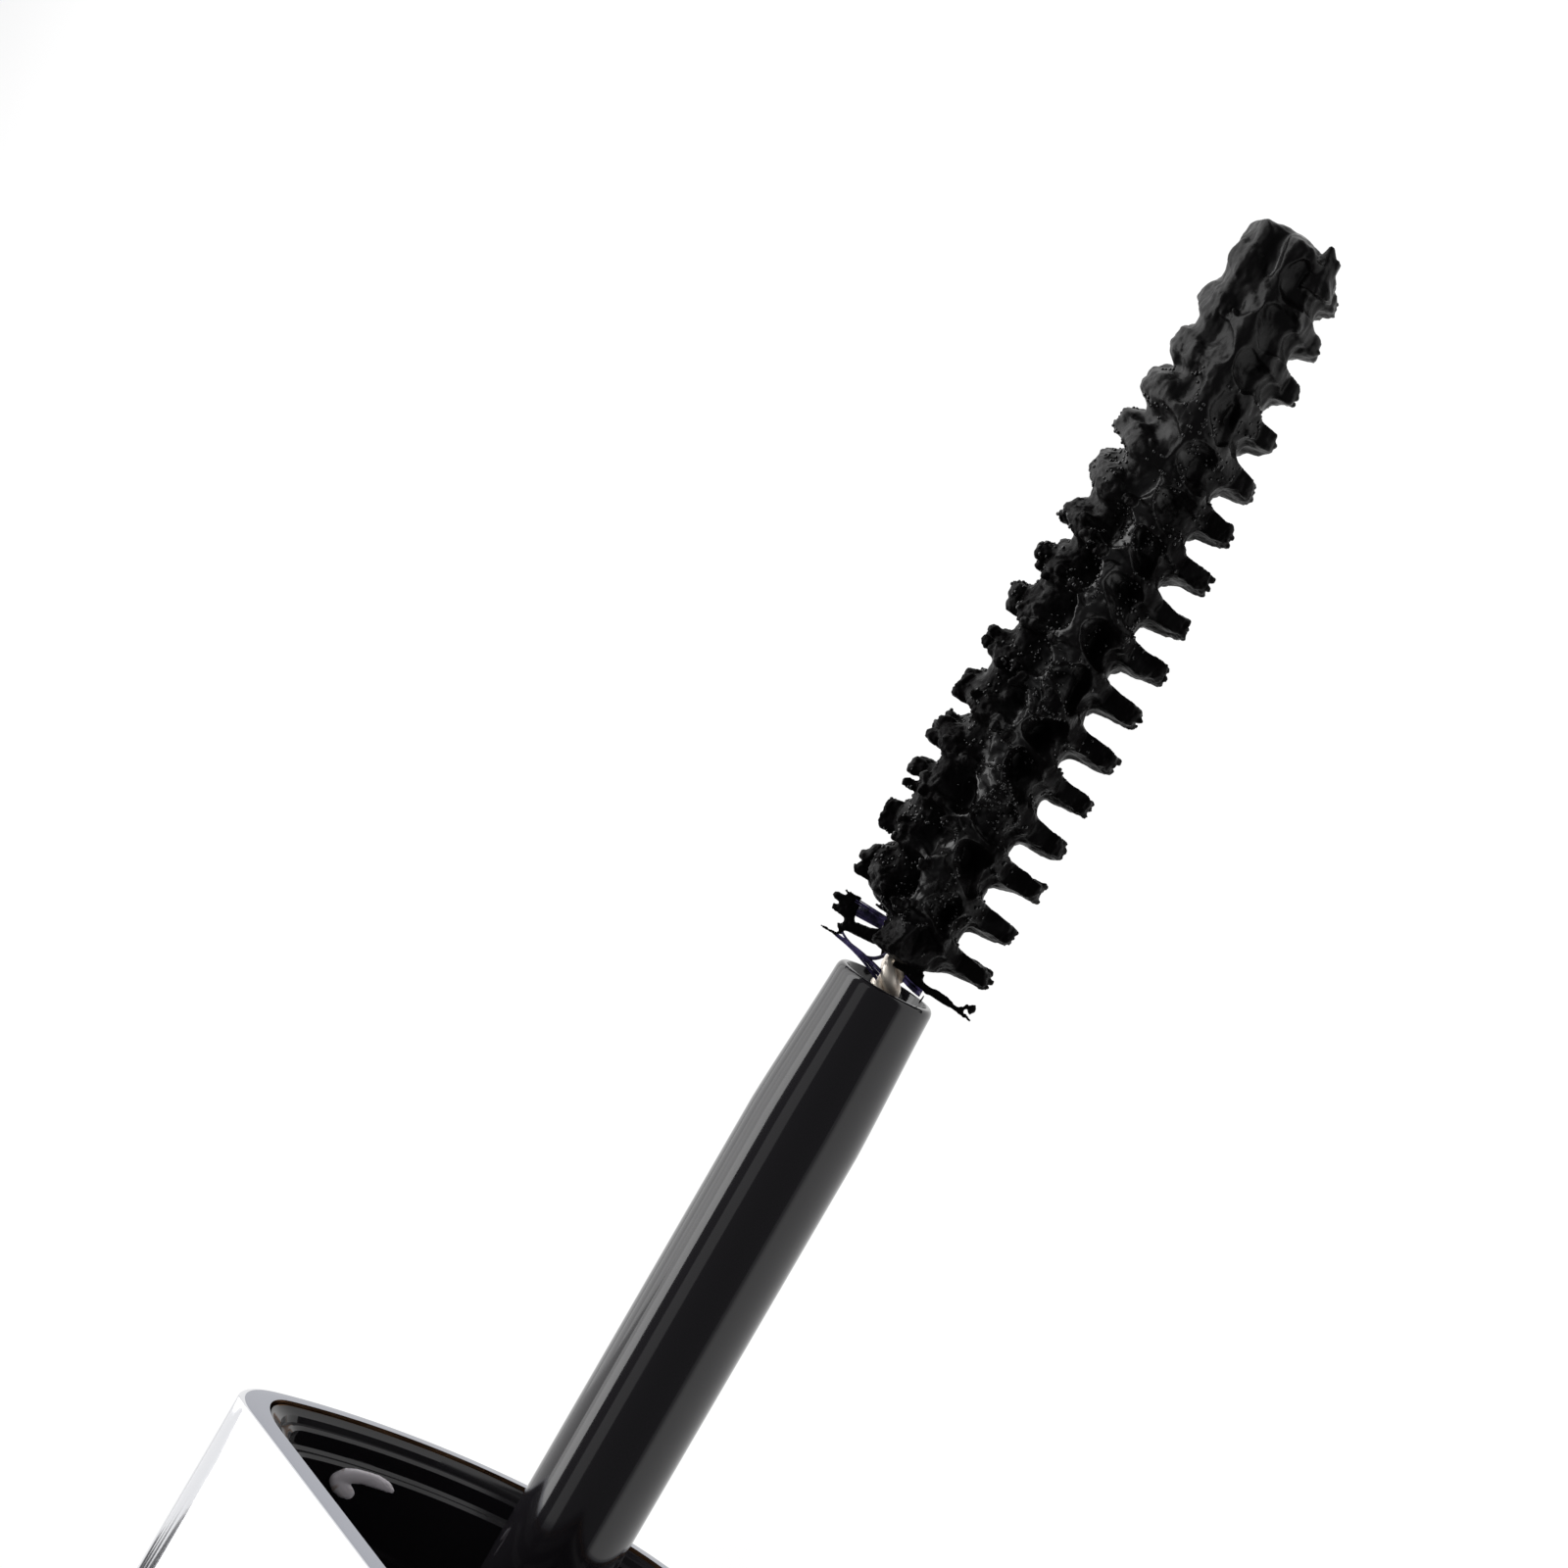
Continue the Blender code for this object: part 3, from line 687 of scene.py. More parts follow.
for k in range(1, 17):
    middle = (TWIST_START - UPPER_SIDE + math.pi * k) * brush_pitch / (2 * math.pi) + 0.02
    for offset in (-0.24, 0.0, 0.24):
        u = middle + offset + chance.uniform(-0.05, 0.05)
        angle = UPPER_SIDE + math.pi + chance.uniform(-0.12, 0.12)
        add_finger(mesh, u, angle, reach_at(u) * chance.uniform(0.96, 1.02), chance.uniform(0.10, 0.15))


# The bare end of the brush shows single fibres: violet nylon that the mascara has clumped at the tips.
def sweep(mesh, bends, thick, thin):
    """A tapering strand along a curve through four (u, up, front) places in millimetres."""
    up_way = Vector((0.0, math.cos(UPPER_SIDE), math.sin(UPPER_SIDE)))
    eye_way = Vector((0.0, math.cos(EYE_SIDE), math.sin(EYE_SIDE)))
    corners = [Vector((u, 0.0, 0.0)) + up_way * up + eye_way * front for u, up, front in bends]
    places = geometry.interpolate_bezier(*corners, 16)
    ring = None
    for k, place in enumerate(places):
        ahead = places[min(k + 1, 15)] - places[max(k - 1, 0)]
        turn = ahead.to_track_quat("Z", "Y")
        radius = thick + (thin - thick) * k / 15
        circle = [place + turn @ (Vector((math.cos(a), math.sin(a), 0.0)) * radius)
                  for a in (2 * math.pi * n / 8 for n in range(8))]
        if ring is None:
            ring = start_ring(mesh, circle)
            bmesh.ops.edgeloop_fill(mesh, edges=[mesh.edges.get((ring[n - 1], ring[n])) for n in range(8)])
        else:
            ring = extrude_ring(mesh, ring, circle)
    bmesh.ops.edgeloop_fill(mesh, edges=[mesh.edges.get((ring[n - 1], ring[n])) for n in range(8)])


BLACK_STRANDS = (
    (((0.66, 2.42, 0.1), (0.70, 2.6, 0.1), (0.69, 2.9, 0.1), (0.68, 3.17, 0.1)), 0.09, 0.05),
    (((0.80, 2.25, 0.1), (0.90, 2.45, 0.1), (1.0, 2.6, 0.1), (1.10, 2.58, 0.1)), 0.06, 0.10),
    (((1.42, 0.7, 0.1), (1.30, 1.3, 0.1), (1.20, 2.0, 0.1), (1.14, 2.5, 0.1)), 0.34, 0.19),
    (((1.50, 2.25, 0.0), (1.48, 2.6, 0.0), (1.47, 2.9, 0.0), (1.46, 3.12, 0.0)), 0.19, 0.13),
    (((1.80, 2.30, 0.0), (1.86, 2.6, 0.0), (1.88, 2.9, 0.0), (1.88, 3.2, 0.0)), 0.22, 0.14),
    (((2.10, 2.35, 0.0), (2.14, 2.6, 0.0), (2.16, 2.8, 0.0), (2.24, 2.98, 0.0)), 0.15, 0.07),
    (((1.66, 2.45, 0.1), (1.68, 2.6, 0.1), (1.68, 2.8, 0.1), (1.66, 2.95, 0.1)), 0.17, 0.12),
    (((2.36, 1.1, 0.1), (2.36, 1.4, 0.1), (2.36, 1.6, 0.1), (2.36, 1.8, 0.1)), 0.10, 0.06),
    (((2.55, 1.1, 0.1), (2.60, 1.4, 0.1), (2.66, 1.7, 0.1), (2.72, 1.95, 0.1)), 0.13, 0.05),
    (((3.05, 1.6, 0.0), (3.04, 2.1, 0.0), (3.02, 2.5, 0.0), (3.00, 2.85, 0.0)), 0.17, 0.07),
    (((0.80, -0.55, 0.5), (0.66, -1.2, 0.5), (0.60, -1.8, 0.4), (0.58, -2.3, 0.4)), 0.16, 0.12),
    (((0.72, -1.6, 0.4), (0.76, -1.9, 0.4), (0.72, -2.2, 0.4), (0.62, -2.45, 0.4)), 0.11, 0.06),
    (((0.58, -2.2, 0.4), (0.54, -2.6, 0.4), (0.50, -2.9, 0.4), (0.45, -3.22, 0.4)), 0.10, 0.055),
    (((0.60, -2.35, 0.4), (0.64, -2.55, 0.4), (0.70, -2.75, 0.4), (0.78, -3.0, 0.4)), 0.055, 0.05),
    (((0.78, -2.96, 0.4), (0.82, -3.02, 0.4), (0.90, -3.02, 0.4), (0.95, -2.98, 0.4)), 0.21, 0.20),
    (((28.7, -1.05, 1.0), (29.3, -1.0, 1.1), (29.9, -0.9, 1.1), (30.42, -0.80, 1.05)), 0.80, 0.13),
    (((29.2, -1.05, 1.1), (29.5, -1.12, 1.1), (29.8, -1.15, 1.1), (30.0, -1.10, 1.0)), 0.36, 0.28),
    (((1.0, -0.35, 0.2), (0.75, -0.55, 0.25), (0.6, -0.8, 0.3), (0.48, -1.1, 0.35)), 0.30, 0.16),
    (((1.02, 0.15, 0.30), (0.98, -0.25, 0.35), (0.92, -0.65, 0.40), (0.86, -1.0, 0.45)), 0.30, 0.19),
    (((1.20, 0.70, 0.10), (1.10, 0.68, 0.15), (0.98, 0.66, 0.20), (0.84, 0.72, 0.25)), 0.22, 0.07),
    (((0.05, -1.31, 0.5), (0.2, -1.33, 0.5), (0.4, -1.36, 0.5), (0.6, -1.40, 0.5)), 0.05, 0.05),
)
for bends, thick, thin in BLACK_STRANDS:
    sweep(mesh, bends, thick, thin)

VIOLET_BUNDLES = (
    (((0.20, 0.42, 0.35), (0.42, 1.05, 0.25), (0.56, 1.5, 0.15), (0.66, 2.5, 0.1)), 0.22, 0.05, 9),
    (((0.95, 0.60, 0.45), (0.62, 0.8, 0.35), (0.45, 1.05, 0.25), (0.52, 1.6, 0.15)), 0.10, 0.04, 5),
    (((0.60, 1.75, 0.1), (0.66, 2.0, 0.1), (0.72, 2.15, 0.1), (0.86, 2.35, 0.1)), 0.04, 0.04, 3),
    (((1.88, 1.0, 0.0), (1.88, 1.5, 0.0), (1.88, 2.0, 0.0), (1.88, 2.5, 0.0)), 0.24, 0.30, 14),
    (((0.60, -0.40, 0.45), (0.50, -0.7, 0.5), (0.44, -0.95, 0.5), (0.42, -1.22, 0.5)), 0.12, 0.14, 7),
)


def violet_nylon():
    """Thin violet nylon fibre, streaked where dried mascara lies on it."""
    made, tree, shader, where = new_material("violet nylon", (0.05, 0.035, 0.14), 0.35)
    streak = noise_node(tree, where, 2600, 3.0)
    tint = tree.nodes.new("ShaderNodeValToRGB")
    tint.color_ramp.elements[0].position = 0.40
    tint.color_ramp.elements[0].color = (0.012, 0.010, 0.035, 1.0)
    tint.color_ramp.elements[1].position = 0.62
    tint.color_ramp.elements[1].color = (0.13, 0.10, 0.30, 1.0)
    tree.links.new(streak, tint.inputs["Fac"])
    tree.links.new(tint.outputs["Color"], shader.inputs["Base Color"])
    ramp_to(tree, streak, shader.inputs["Roughness"], 0.25, 0.5)
    return made


fibres = bmesh.new()
for bends, wide_foot, wide_top, count in VIOLET_BUNDLES:
    for k in range(count):
        away = 2 * (k + 0.5) / count - 1
        depth = chance.uniform(-0.10, 0.10)
        shares = [wide_foot + (wide_top - wide_foot) * n / 3 for n in range(4)]
        own = [(u + away * share, up, front + depth) for (u, up, front), share in zip(bends, shares)]
        sweep(fibres, own, 0.030, 0.022)
fibres.transform(Matrix.Translation((stem_end, 0, axis_z)) @ Matrix.Scale(MM, 4))
fibre_piece = finish_piece("bare_fibres", fibres, "applicator", violet_nylon(), 60)

data = bpy.data.meshes.new("coat")
mesh.to_mesh(data)
mesh.free()
coat = bpy.data.objects.new("coat", data)
bpy.context.scene.collection.objects.link(coat)
remesh = coat.modifiers.new("merge", "REMESH")
remesh.mode = "VOXEL"
remesh.voxel_size = COAT_VOXEL
soften = coat.modifiers.new("soften", "SMOOTH")
soften.factor = 0.5
soften.iterations = 2
whole = bpy.data.meshes.new_from_object(coat.evaluated_get(bpy.context.evaluated_depsgraph_get()))
bpy.data.objects.remove(coat)


def settle(point, outward):
    """Warps a point of the coat as thick paste lies: knobbly on the crests and smooth between them."""
    radius = math.hypot(point.y, point.z)
    knobs = smooth_step(0.70, 0.92, radius / reach_at(point.x))
    film = smooth_step(18, 23, point.x + 2.0 * (facing(math.atan2(point.z, point.y), UPPER_SIDE) - 0.5))
    flow = noise.noise_vector(point * 0.9) * 0.12 + noise.noise_vector(point * 2.3 + Vector((9, 9, 9))) * 0.05
    flow *= smooth_step(0.3, 2.4, point.x)
    lump = (0.05 * noise.noise(point * 4.5) + 0.05 * noise.noise(point * 9.0)) * (0.25 + 0.75 * knobs) * (1 - 0.8 * film)
    lump += 0.08 * film * noise.noise(Vector((point.x * 0.7, point.y * 1.5, point.z * 1.5)))
    lump += 0.022 * film * noise.noise(Vector((point.x * 1.3, point.y * 6, point.z * 6)))
    moved = point + flow + outward * lump
    height = point.y * math.cos(UPPER_SIDE) + point.z * math.sin(UPPER_SIDE)
    moved.x += 0.14 * height * smooth_step(27.0, BRUSH_END, point.x)
    drift = TIP_DRIFT * (max(0.0, point.x) / BRUSH_END) ** 1.3
    return moved + Vector((0.0, math.cos(UPPER_SIDE), math.sin(UPPER_SIDE))) * drift


def wetness(point):
    """How far the mascara lies as a smooth wet film here, from 0 to 1."""
    angle = math.atan2(point.z, point.y)
    film = smooth_step(17.5, 23, point.x + 3.0 * (facing(angle, UPPER_SIDE) - 0.5))
    patch = smooth_step(0.0, 0.35, noise.noise(point * 1.3 + Vector((3, 1, 4))))
    webs = beside(angle, 119, 16) * smooth_step(0.85, 0.7, math.hypot(point.y, point.z) / reach_at(point.x))
    bare = smooth_step(1.8, 4.0, point.x)
    return min(1.0, bare * max(0.26 * film, 0.7 * patch * (0.2 + webs), webs))


wet = whole.attributes.new("wet", "FLOAT", "POINT")
wet.data.foreach_set("value", [wetness(v.co) for v in whole.vertices])
normals = [v.normal.copy() for v in whole.vertices]
for vert, outward in zip(whole.vertices, normals):
    vert.co = settle(vert.co, outward)
whole.transform(Matrix.Translation((stem_end, 0, axis_z)) @ Matrix.Scale(MM, 4))


def wet_mascara():
    """Thick black paste, glossy where it lies as a film and dull and grainy on the knobs."""
    made, tree, shader, where = new_material("wet mascara", (0.0035, 0.003, 0.0032), 0.3)
    film = tree.nodes.new("ShaderNodeAttribute")
    film.attribute_name = "wet"
    for name, dull, glossy in (("Specular IOR Level", 0.03, 0.60), ("Roughness", 0.42, 0.30)):
        blend = tree.nodes.new("ShaderNodeMapRange")
        blend.inputs["To Min"].default_value = dull
        blend.inputs["To Max"].default_value = glossy
        tree.links.new(film.outputs["Fac"], blend.inputs["Value"])
        tree.links.new(blend.outputs["Result"], shader.inputs[name])
    grain = noise_node(tree, where, 4200, 5.0)
    beads = tree.nodes.new("ShaderNodeTexVoronoi")
    beads.inputs["Scale"].default_value = 5200
    tree.links.new(where, beads.inputs["Vector"])
    height = tree.nodes.new("ShaderNodeMath")
    height.operation = "SUBTRACT"
    tree.links.new(grain, height.inputs[0])
    tree.links.new(beads.outputs["Distance"], height.inputs[1])
    calm = tree.nodes.new("ShaderNodeMapRange")
    calm.inputs["From Max"].default_value = 0.4
    calm.inputs["To Min"].default_value = 1.0
    calm.inputs["To Max"].default_value = 0.12
    tree.links.new(film.outputs["Fac"], calm.inputs["Value"])
    relief = tree.nodes.new("ShaderNodeMath")
    relief.operation = "MULTIPLY"
    tree.links.new(height.outputs["Value"], relief.inputs[0])
    tree.links.new(calm.outputs["Result"], relief.inputs[1])
    bump(tree, shader, relief.outputs["Value"], 0.5, 0.05 * MM)
    return made


WET_MASCARA = wet_mascara()

# Small beads of wet mascara that stand on the lumps and catch the light.
bead_shape = bmesh.new()
bmesh.ops.create_icosphere(bead_shape, subdivisions=2, radius=1.0)
bead = bpy.data.meshes.new("bead")
bead_shape.to_mesh(bead)
bead_shape.free()
beads = bmesh.new()
tries = random.Random(23)
for k in range(7000):
    vert = whole.vertices[tries.randrange(len(whole.vertices))]
    place = (vert.co - Vector((stem_end, 0, axis_z))) / MM
    around = math.atan2(place.z, place.y)
    crowd = noise.noise(place * 0.9 + Vector((7, 2, 5))) + 0.25 * facing(around, EYE_SIDE)
    if crowd < 0.30 or facing(around, math.radians(100)) < 0.35 or place.x < 1.4 or place.x > 24.5:
        continue
    drop = bead.copy()
    size = tries.uniform(0.04, 0.08) * MM
    drop.transform(Matrix.Translation(vert.co) @ Matrix.Scale(size, 4))
    beads.from_mesh(drop)
    bpy.data.meshes.remove(drop)


def bead_gloss():
    """Wet black mascara drawn into tight shiny beads."""
    made, tree, shader, where = new_material("bead gloss", (0.004, 0.0035, 0.004), 0.12)
    film = noise_node(tree, where, 6000, 2.0)
    ramp_to(tree, film, shader.inputs["Roughness"], 0.06, 0.22)
    return made


bead_piece = finish_piece("mascara_beads", beads, "applicator", bead_gloss(), 80)
whole_normals = [v.normal.copy() for v in whole.vertices]
borders = [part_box(f"bristles_{n}")[1].x for n in range(1, 6)]
for n in range(6):
    below = borders[n - 1] if n else -1.0
    above = borders[n] if n < 5 else 1.0
    part = bmesh.new()
    part.from_mesh(whole)
    layer = part.verts.layers.int.new("place")
    for k, vert in enumerate(part.verts):
        vert[layer] = k
    away = [f for f in part.faces if not below <= f.verts[0].co.x < above]
    bmesh.ops.delete(part, geom=away, context="FACES")
    kept = [whole_normals[v[layer]] for v in part.verts]
    part.verts.layers.int.remove(layer)
    data = bpy.data.meshes.new(f"coated_bristles_{n + 1}")
    part.to_mesh(data)
    part.free()
    data.shade_smooth()
    data.normals_split_custom_set_from_vertices(kept)
    data.materials.append(WET_MASCARA)
    piece = bpy.data.objects.new(f"coated_bristles_{n + 1}", data)
    bpy.context.scene.collection.objects.link(piece)
    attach(piece, "applicator")
    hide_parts(f"bristles_{n + 1}")


# The tube's sleeve. The same plated D section as the cap's, so the closed mascara reads as one bar.
tube_low, tube_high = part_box("tube_shell")
tube_sleeve = sleeve("tube_sleeve", tube_low.x, tube_high.x, "tube")
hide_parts("tube_shell")


# The tube's base plate. The same pressed disc as the cap's, at the tube's foot.
end_plate("tube_base_disc", "tube_base_plate", "tube")


# The shoulder collar. A glossy black plate round the neck, pressed into the mouth of the sleeve.
COLLAR_HOLE = 5.2 * MM
COLLAR_ROUND = 0.15 * MM
collar_low, collar_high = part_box("shoulder_collar")
mesh = bmesh.new()
outside = []
hole = []
for x, more in (
    (collar_low.x, COLLAR_ROUND), (collar_low.x + COLLAR_ROUND, 0.0),
    (collar_high.x - COLLAR_ROUND, 0.0), (collar_high.x, COLLAR_ROUND),
):
    points = d_ring(x, SLEEVE_WALL + 0.1 * MM + more, FLAT_WALL + 0.1 * MM + more)
    outside.append(extrude_ring(mesh, outside[-1], points) if outside else start_ring(mesh, points))
    turns = [2 * math.pi * k / 96 for k in range(96)]
    points = [Vector((x, (COLLAR_HOLE + more) * math.cos(t), axis_z + (COLLAR_HOLE + more) * math.sin(t))) for t in turns]
    hole.append(extrude_ring(mesh, hole[-1], points) if hole else start_ring(mesh, points))
for end in (0, -1):
    rims = [mesh.edges.get((ring[k - 1], ring[k])) for ring in (outside[end], hole[end]) for k in range(len(ring))]
    bmesh.ops.triangle_fill(mesh, edges=rims, use_beauty=True)
collar = finish_piece("shoulder_plate", mesh, "tube", GLOSS_BLACK)
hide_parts("shoulder_collar")


# The bottle's seat. A plain black ring deep in the sleeve that holds the bottle's foot.
carry_over("bottle_seat", gloss_black("seat plastic", 0.3))


# The inner bottle. Black moulded plastic with a round shoulder and the threaded neck, whose lip is
# rounded where it meets the washer.
NECK_RADIUS = 4.6 * MM
NECK_BORE = 4.1 * MM
BOTTLE_WALL = 0.8 * MM
SHOULDER = 2.0 * MM
bottle_low, bottle_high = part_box("inner_bottle")
bottle_radius = (bottle_high.y - bottle_low.y) / 2
inside_radius = bottle_radius - BOTTLE_WALL
shoulder_x = collar_high.x + 0.3 * MM
mouth_x = bottle_low.x
foot_x = bottle_high.x
profile = [(foot_x, 0.0), (foot_x, bottle_radius - 0.8 * MM)]
for k in range(1, 6):
    angle = math.pi / 2 * k / 5
    profile.append((foot_x - 0.8 * MM * (1 - math.cos(angle)), bottle_radius - 0.8 * MM * (1 - math.sin(angle))))
for k in range(9):
    angle = math.pi / 2 * k / 8
    profile.append((shoulder_x + SHOULDER * (1 - math.sin(angle)),
                    bottle_radius - (bottle_radius - NECK_RADIUS - 0.9 * MM) * (1 - math.cos(angle))))
thread_start = mouth_x + 0.5 * MM
thread_end = tube_low.x - 1.0 * MM
rows = 110
profile += [(shoulder_x, NECK_RADIUS)]
for k in range(rows + 1):
    profile.append((thread_end + (thread_start - thread_end) * k / rows, NECK_RADIUS))
for k in range(1, 6):
    angle = math.pi / 2 * k / 5
    profile.append((mouth_x + 0.25 * MM * (1 - math.sin(angle)), NECK_RADIUS - 0.25 * MM * (1 - math.cos(angle))))
profile += [(mouth_x, NECK_BORE + 0.12 * MM), (mouth_x + 0.12 * MM, NECK_BORE)]
profile += [(shoulder_x + BOTTLE_WALL, NECK_BORE), (shoulder_x + SHOULDER + BOTTLE_WALL, inside_radius)]
profile += [(foot_x - BOTTLE_WALL - 0.5 * MM, inside_radius), (foot_x - BOTTLE_WALL, inside_radius - 0.5 * MM)]
profile += [(foot_x - BOTTLE_WALL, 0.0)]
bottle = turned("threaded_bottle", profile, "tube", GLOSS_BLACK, closed=False)
cut_thread(bottle, thread_start, thread_end, NECK_RADIUS, THREAD_DEPTH)
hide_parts("inner_bottle")


# The wiper. A soft, milky sleeve in the neck with a bead at its mouth and a thin lip at its inner end,
# which strips the brush as it is drawn out.
def milky_seal():
    """Soft translucent plastic with a faint cloudiness."""
    made, tree, shader, where = new_material("milky seal", (0.70, 0.69, 0.66), 0.45)
    cloud = noise_node(tree, where, 900, 3.0)
    ramp_to(tree, cloud, shader.inputs["Roughness"], 0.38, 0.55)
    bump(tree, shader, cloud, 0.15, 0.03 * MM)
    return made


MILKY_SEAL = milky_seal()
wiper_low, wiper_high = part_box("wiper")
wiper_radius = (wiper_high.y - wiper_low.y) / 2
profile = [
    (wiper_low.x, wiper_radius - 0.28 * MM), (wiper_low.x, wiper_radius - 0.08 * MM),
    (wiper_low.x + 0.08 * MM, wiper_radius), (wiper_low.x + 0.9 * MM, wiper_radius),
    (wiper_low.x + 1.1 * MM, wiper_radius - 0.06 * MM), (wiper_high.x - 2.5 * MM, wiper_radius - 0.06 * MM),
    (wiper_high.x - 0.1 * MM, wiper_radius - 0.22 * MM), (wiper_high.x, wiper_radius - 0.28 * MM),
    (wiper_high.x - 0.05 * MM, wiper_radius - 0.36 * MM), (wiper_high.x - 2.5 * MM, wiper_radius - 0.34 * MM),
    (wiper_low.x + 0.6 * MM, wiper_radius - 0.38 * MM), (wiper_low.x + 0.1 * MM, wiper_radius - 0.36 * MM),
]
wiper = turned("neck_wiper", profile, "tube", MILKY_SEAL)
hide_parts("wiper")


# The mascara in the bottle. Thick black paste with a hollow surface round the channel that the brush
# leaves, whose wall is ragged where the bristles dragged it.
PASTE_RADIUS = 5.9 * MM
CHANNEL_RADIUS = 3.65 * MM
paste_low, paste_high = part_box("mascara_fill")
channel_tip = paste_high.x - 5.05 * MM
profile = [(paste_high.x, 0.0), (paste_high.x, PASTE_RADIUS - 0.4 * MM), (paste_high.x - 0.4 * MM, PASTE_RADIUS)]
profile += [(paste_low.x, PASTE_RADIUS)]
for k in range(1, 9):
    share = k / 9
    dip = 0.35 * MM * math.sin(math.pi * share)
    profile.append((paste_low.x + dip, PASTE_RADIUS + (CHANNEL_RADIUS - PASTE_RADIUS) * share))
for k in range(81):
    profile.append((paste_low.x + (channel_tip - paste_low.x) * k / 80, CHANNEL_RADIUS))
profile += [(channel_tip, CHANNEL_RADIUS * 0.5), (channel_tip, 0.0)]
paste = turned("mascara_paste", profile, "tube", WET_MASCARA, closed=False, sharp=60)
for vert in paste.data.vertices:
    y, z = vert.co.y, vert.co.z - axis_z
    if abs(math.hypot(y, z) - CHANNEL_RADIUS) < 0.01 * MM and vert.co.x < channel_tip:
        ragged = noise.noise(Vector((vert.co.x / MM * 0.7, y / MM * 1.5, z / MM * 1.5)))
        grow = 1 + 0.10 * max(0.0, ragged)
        vert.co.y = y * grow
        vert.co.z = axis_z + z * grow
wet = paste.data.attributes.new("wet", "FLOAT", "POINT")
wet.data.foreach_set("value", [0.8] * len(paste.data.vertices))
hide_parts("mascara_fill")


# The sealing washer. A soft milky ring that lies loose on the floor of the cap, with rounded edges.
washer_low, washer_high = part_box("seal_washer")
washer_outer = (washer_high.y - washer_low.y) / 2
WASHER_INNER = 3.2 * MM
WASHER_ROUND = 0.15 * MM
profile = []
for x, radius, start in (
    (washer_high.x - WASHER_ROUND, washer_outer - WASHER_ROUND, 0),
    (washer_high.x - WASHER_ROUND, WASHER_INNER + WASHER_ROUND, 1),
    (washer_low.x + WASHER_ROUND, WASHER_INNER + WASHER_ROUND, 2),
    (washer_low.x + WASHER_ROUND, washer_outer - WASHER_ROUND, 3),
):
    for k in range(5):
        angle = math.pi / 2 * (start + k / 4)
        profile.append((x + WASHER_ROUND * math.sin(angle), radius + WASHER_ROUND * math.cos(angle)))
washer = turned("soft_washer", profile, "seal", MILKY_SEAL)
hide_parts("seal_washer")


# Camera, floor and light, as in the photograph.
PICTURE = 1600
FOCAL_PIXELS = 3200.0
STEM_END_PIXEL = (905.0, 1005.0)
STEM_DIRECTION = Vector((0.5015, -0.8652, 0.0))
STEM_LEAN = math.radians(5.5)
FACE_TURN = math.radians(45.3)
CAMERA_DISTANCE = 113.0 * MM
in_view = Vector((STEM_END_PIXEL[0] - PICTURE / 2, STEM_END_PIXEL[1] - PICTURE / 2, 0.0)) / FOCAL_PIXELS
in_view.z = 1.0
along = STEM_DIRECTION * math.cos(STEM_LEAN) - in_view * math.sin(STEM_LEAN)
along.normalize()
rim_view = (in_view * CAMERA_DISTANCE - along * (stem_end - rim_x)).normalized()
across = along.cross(rim_view).normalized()
if across.x < 0:
    across.negate()
away = across.cross(along).normalized()
if away.dot(rim_view) < 0:
    away.negate()
face = -(across * math.sin(FACE_TURN) + away * math.cos(FACE_TURN))
side = face.cross(along)
to_part = Matrix((along, side, face))
camera_data = bpy.data.cameras.new("camera")
camera_data.sensor_width = 36.0
camera_data.lens = FOCAL_PIXELS / PICTURE * 36.0
camera_data.clip_start = 0.005
camera = bpy.data.objects.new("camera", camera_data)
bpy.context.scene.collection.objects.link(camera)
right, down, forward = (to_part @ Vector(v) for v in ((1, 0, 0), (0, 1, 0), (0, 0, 1)))
turn = Matrix((right, -down, -forward)).transposed().to_4x4()
seat = Vector((stem_end, 0.0, axis_z)) - to_part @ (in_view * CAMERA_DISTANCE)
camera.matrix_world = Matrix.Translation(seat) @ turn
bpy.context.scene.camera = camera

# The floor glows instead of being lit, so nothing casts a shadow on it. Its glow is painted light: strongest just on
# the camera's side of the parts, a little lower under and behind them, and fading towards both far edges.
def floor_glow_painted_falloff():
    """A glowing floor with painted light falloff. Its glow fades away from the parts, fastest towards the camera's
    side of the room.
    """
    made, tree, shader, where = new_material("floor glow painted falloff", (0.02, 0.02, 0.02), 0.8)
    parts = tree.nodes.new("ShaderNodeSeparateXYZ")
    tree.links.new(where, parts.inputs["Vector"])
    glow = tree.nodes.new("ShaderNodeValToRGB")
    spread = tree.nodes.new("ShaderNodeMapRange")
    spread.inputs["From Min"].default_value = -0.20
    spread.inputs["From Max"].default_value = 0.20
    tree.links.new(parts.outputs["Y"], spread.inputs["Value"])
    tree.links.new(spread.outputs["Result"], glow.inputs["Fac"])
    stops = glow.color_ramp.elements
    stops[0].position, stops[0].color = 0.2, (0.35, 0.35, 0.36, 1.0)
    stops[1].position, stops[1].color = 1.0, (0.45, 0.45, 0.46, 1.0)
    # Painted light: these stops set where the floor's glow is strong and where it falls off.
    for place, level in ((0.40, 1.0), (0.47, 1.0), (0.50, 0.95), (0.78, 0.95)):
        stop = stops.new(place)
        stop.color = (level, level, level, 1.0)
    tree.links.new(glow.outputs["Color"], shader.inputs["Emission Color"])
    shader.inputs["Emission Strength"].default_value = 1.02
    return made


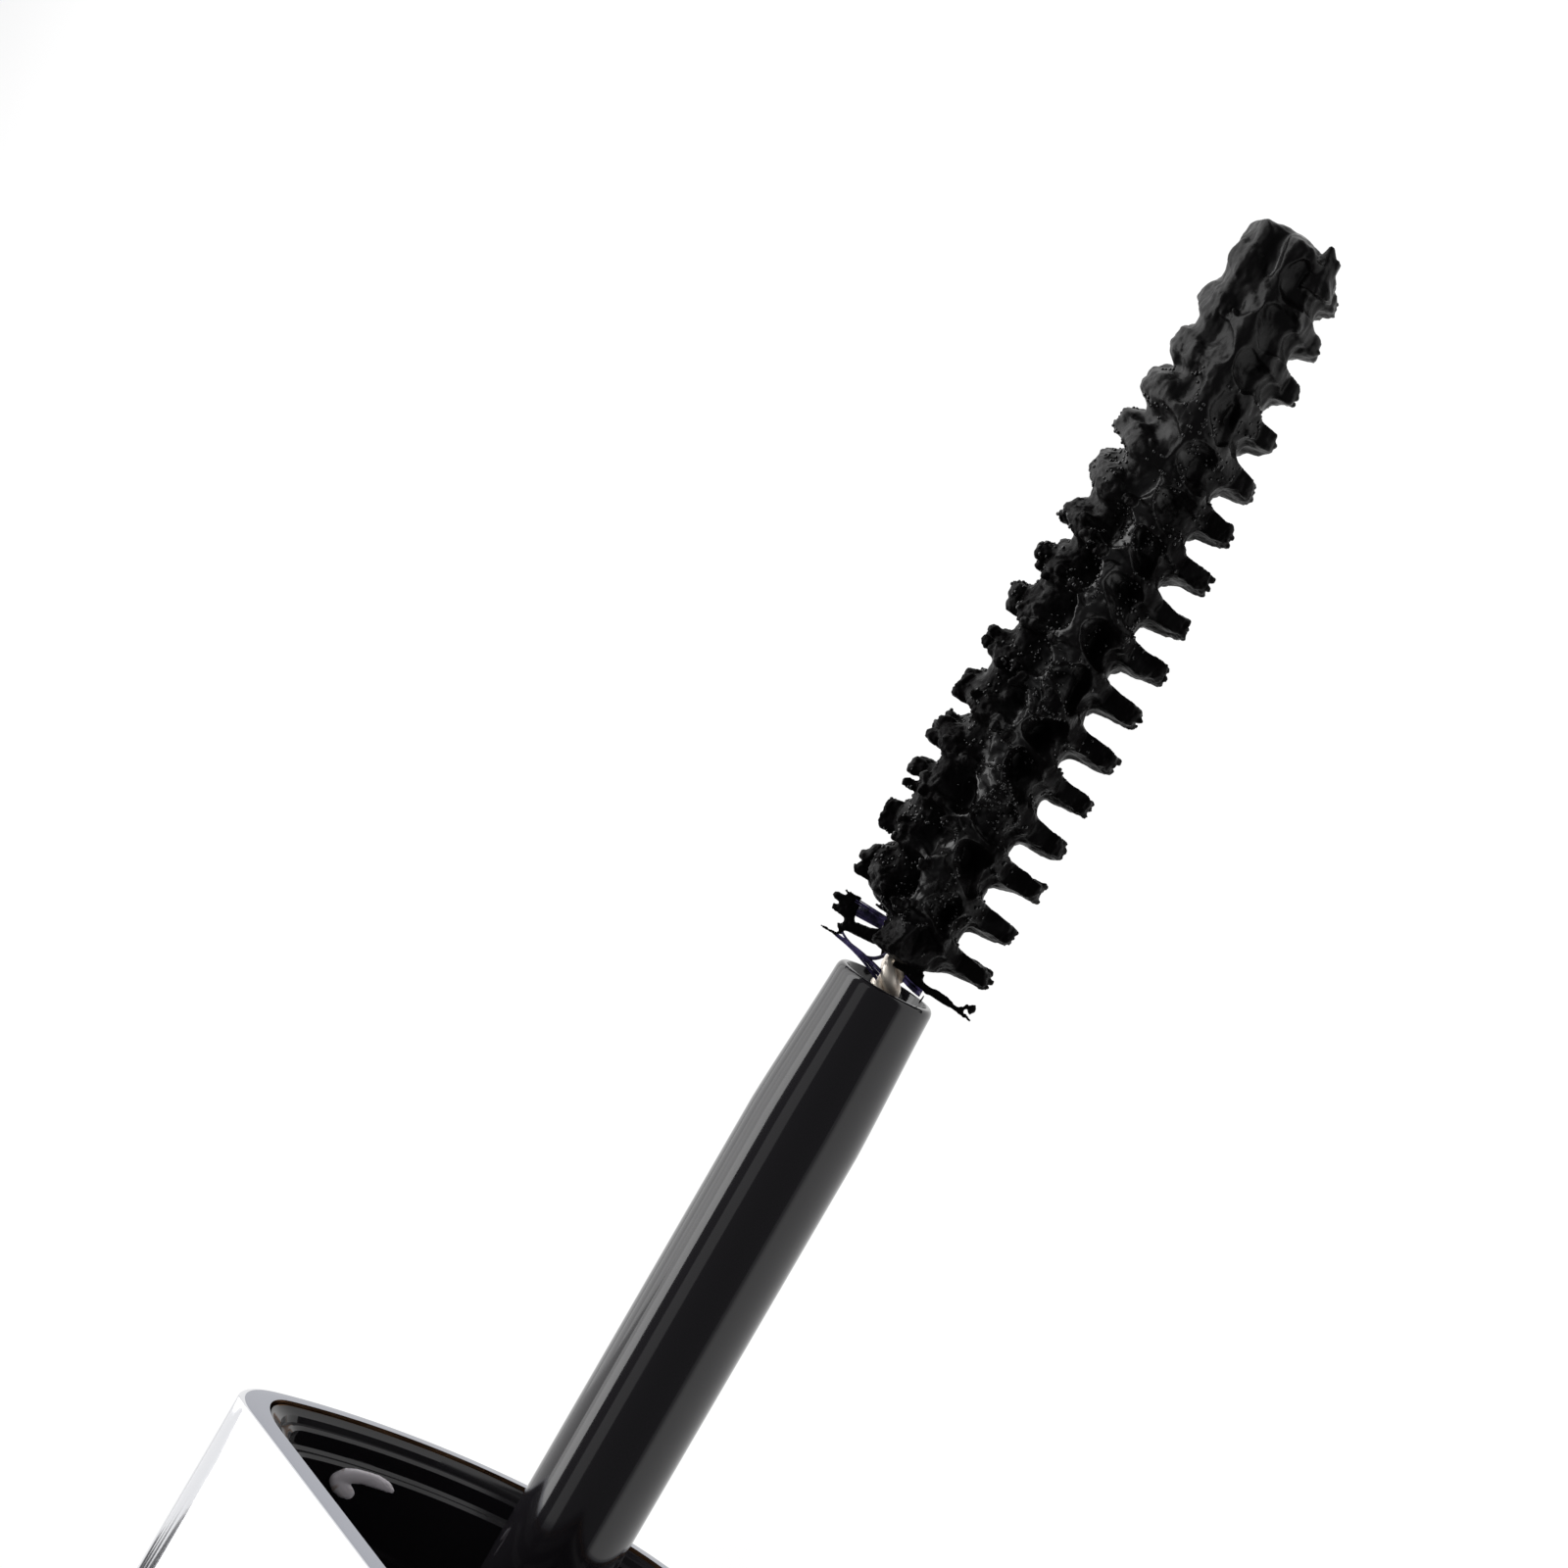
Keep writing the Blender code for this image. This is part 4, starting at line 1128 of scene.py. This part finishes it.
floor_mesh = bmesh.new()
bmesh.ops.create_grid(floor_mesh, x_segments=1, y_segments=1, size=0.8)
floor_data = bpy.data.meshes.new("floor")
floor_mesh.to_mesh(floor_data)
floor_mesh.free()
floor_data.materials.append(floor_glow_painted_falloff())
floor = bpy.data.objects.new("floor", floor_data)
bpy.context.scene.collection.objects.link(floor)


# The studio. A tall soft panel stands behind the part and grows brighter upwards, a faint one hangs
# overhead, and the room towards the camera stays dark.
def softbox(name, place, aim, width, height, radiance):
    """A rectangular studio light of a given brightness, aimed at a point."""
    light = bpy.data.lights.new(name, "AREA")
    light.shape = "RECTANGLE"
    light.size, light.size_y = width, height
    light.energy = radiance * math.pi * width * height
    lamp = bpy.data.objects.new(name, light)
    bpy.context.scene.collection.objects.link(lamp)
    lamp.location = place
    lamp.rotation_mode = "QUATERNION"
    lamp.rotation_quaternion = (Vector(aim) - Vector(place)).to_track_quat("-Z", "Y")
    return lamp


PANEL_Y = 0.30
for name, low, high, left, right_end, radiance in (
    ("lower panel", 0.0, 0.12, -0.135, 0.55, 1.5),
    ("grey card", 0.0, 0.06, -0.177, -0.135, 0.95),
    ("grey card", 0.06, 0.12, -0.182, -0.135, 0.95),
    ("grey card", 0.12, 0.18, -0.191, -0.135, 0.95),
    ("grey card", 0.18, 0.243, -0.203, -0.135, 0.95),
    ("middle panel", 0.12, 0.20, -0.135, 0.55, 2.3),
    ("middle panel", 0.20, 0.32, -0.135, 0.55, 2.8),
    ("left panel", 0.243, 0.32, -0.55, -0.135, 2.8),
    ("upper panel", 0.32, 0.60, -0.55, 0.55, 4.0),
):
    middle = (low + high) / 2
    across = (left + right_end) / 2
    softbox(name, (across, PANEL_Y, middle), (across, 0.0, middle), right_end - left, high - low, radiance)
softbox("overhead panel", (0.0, -0.02, 0.5), (0.0, -0.02, 0.0), 0.8, 0.18, 0.5)
world = bpy.data.worlds.new("studio")
bpy.context.scene.world = world
world.use_nodes = True
world.node_tree.nodes["Background"].inputs["Color"].default_value = (0.14, 0.14, 0.145, 1.0)
bpy.context.scene.view_settings.view_transform = "Standard"
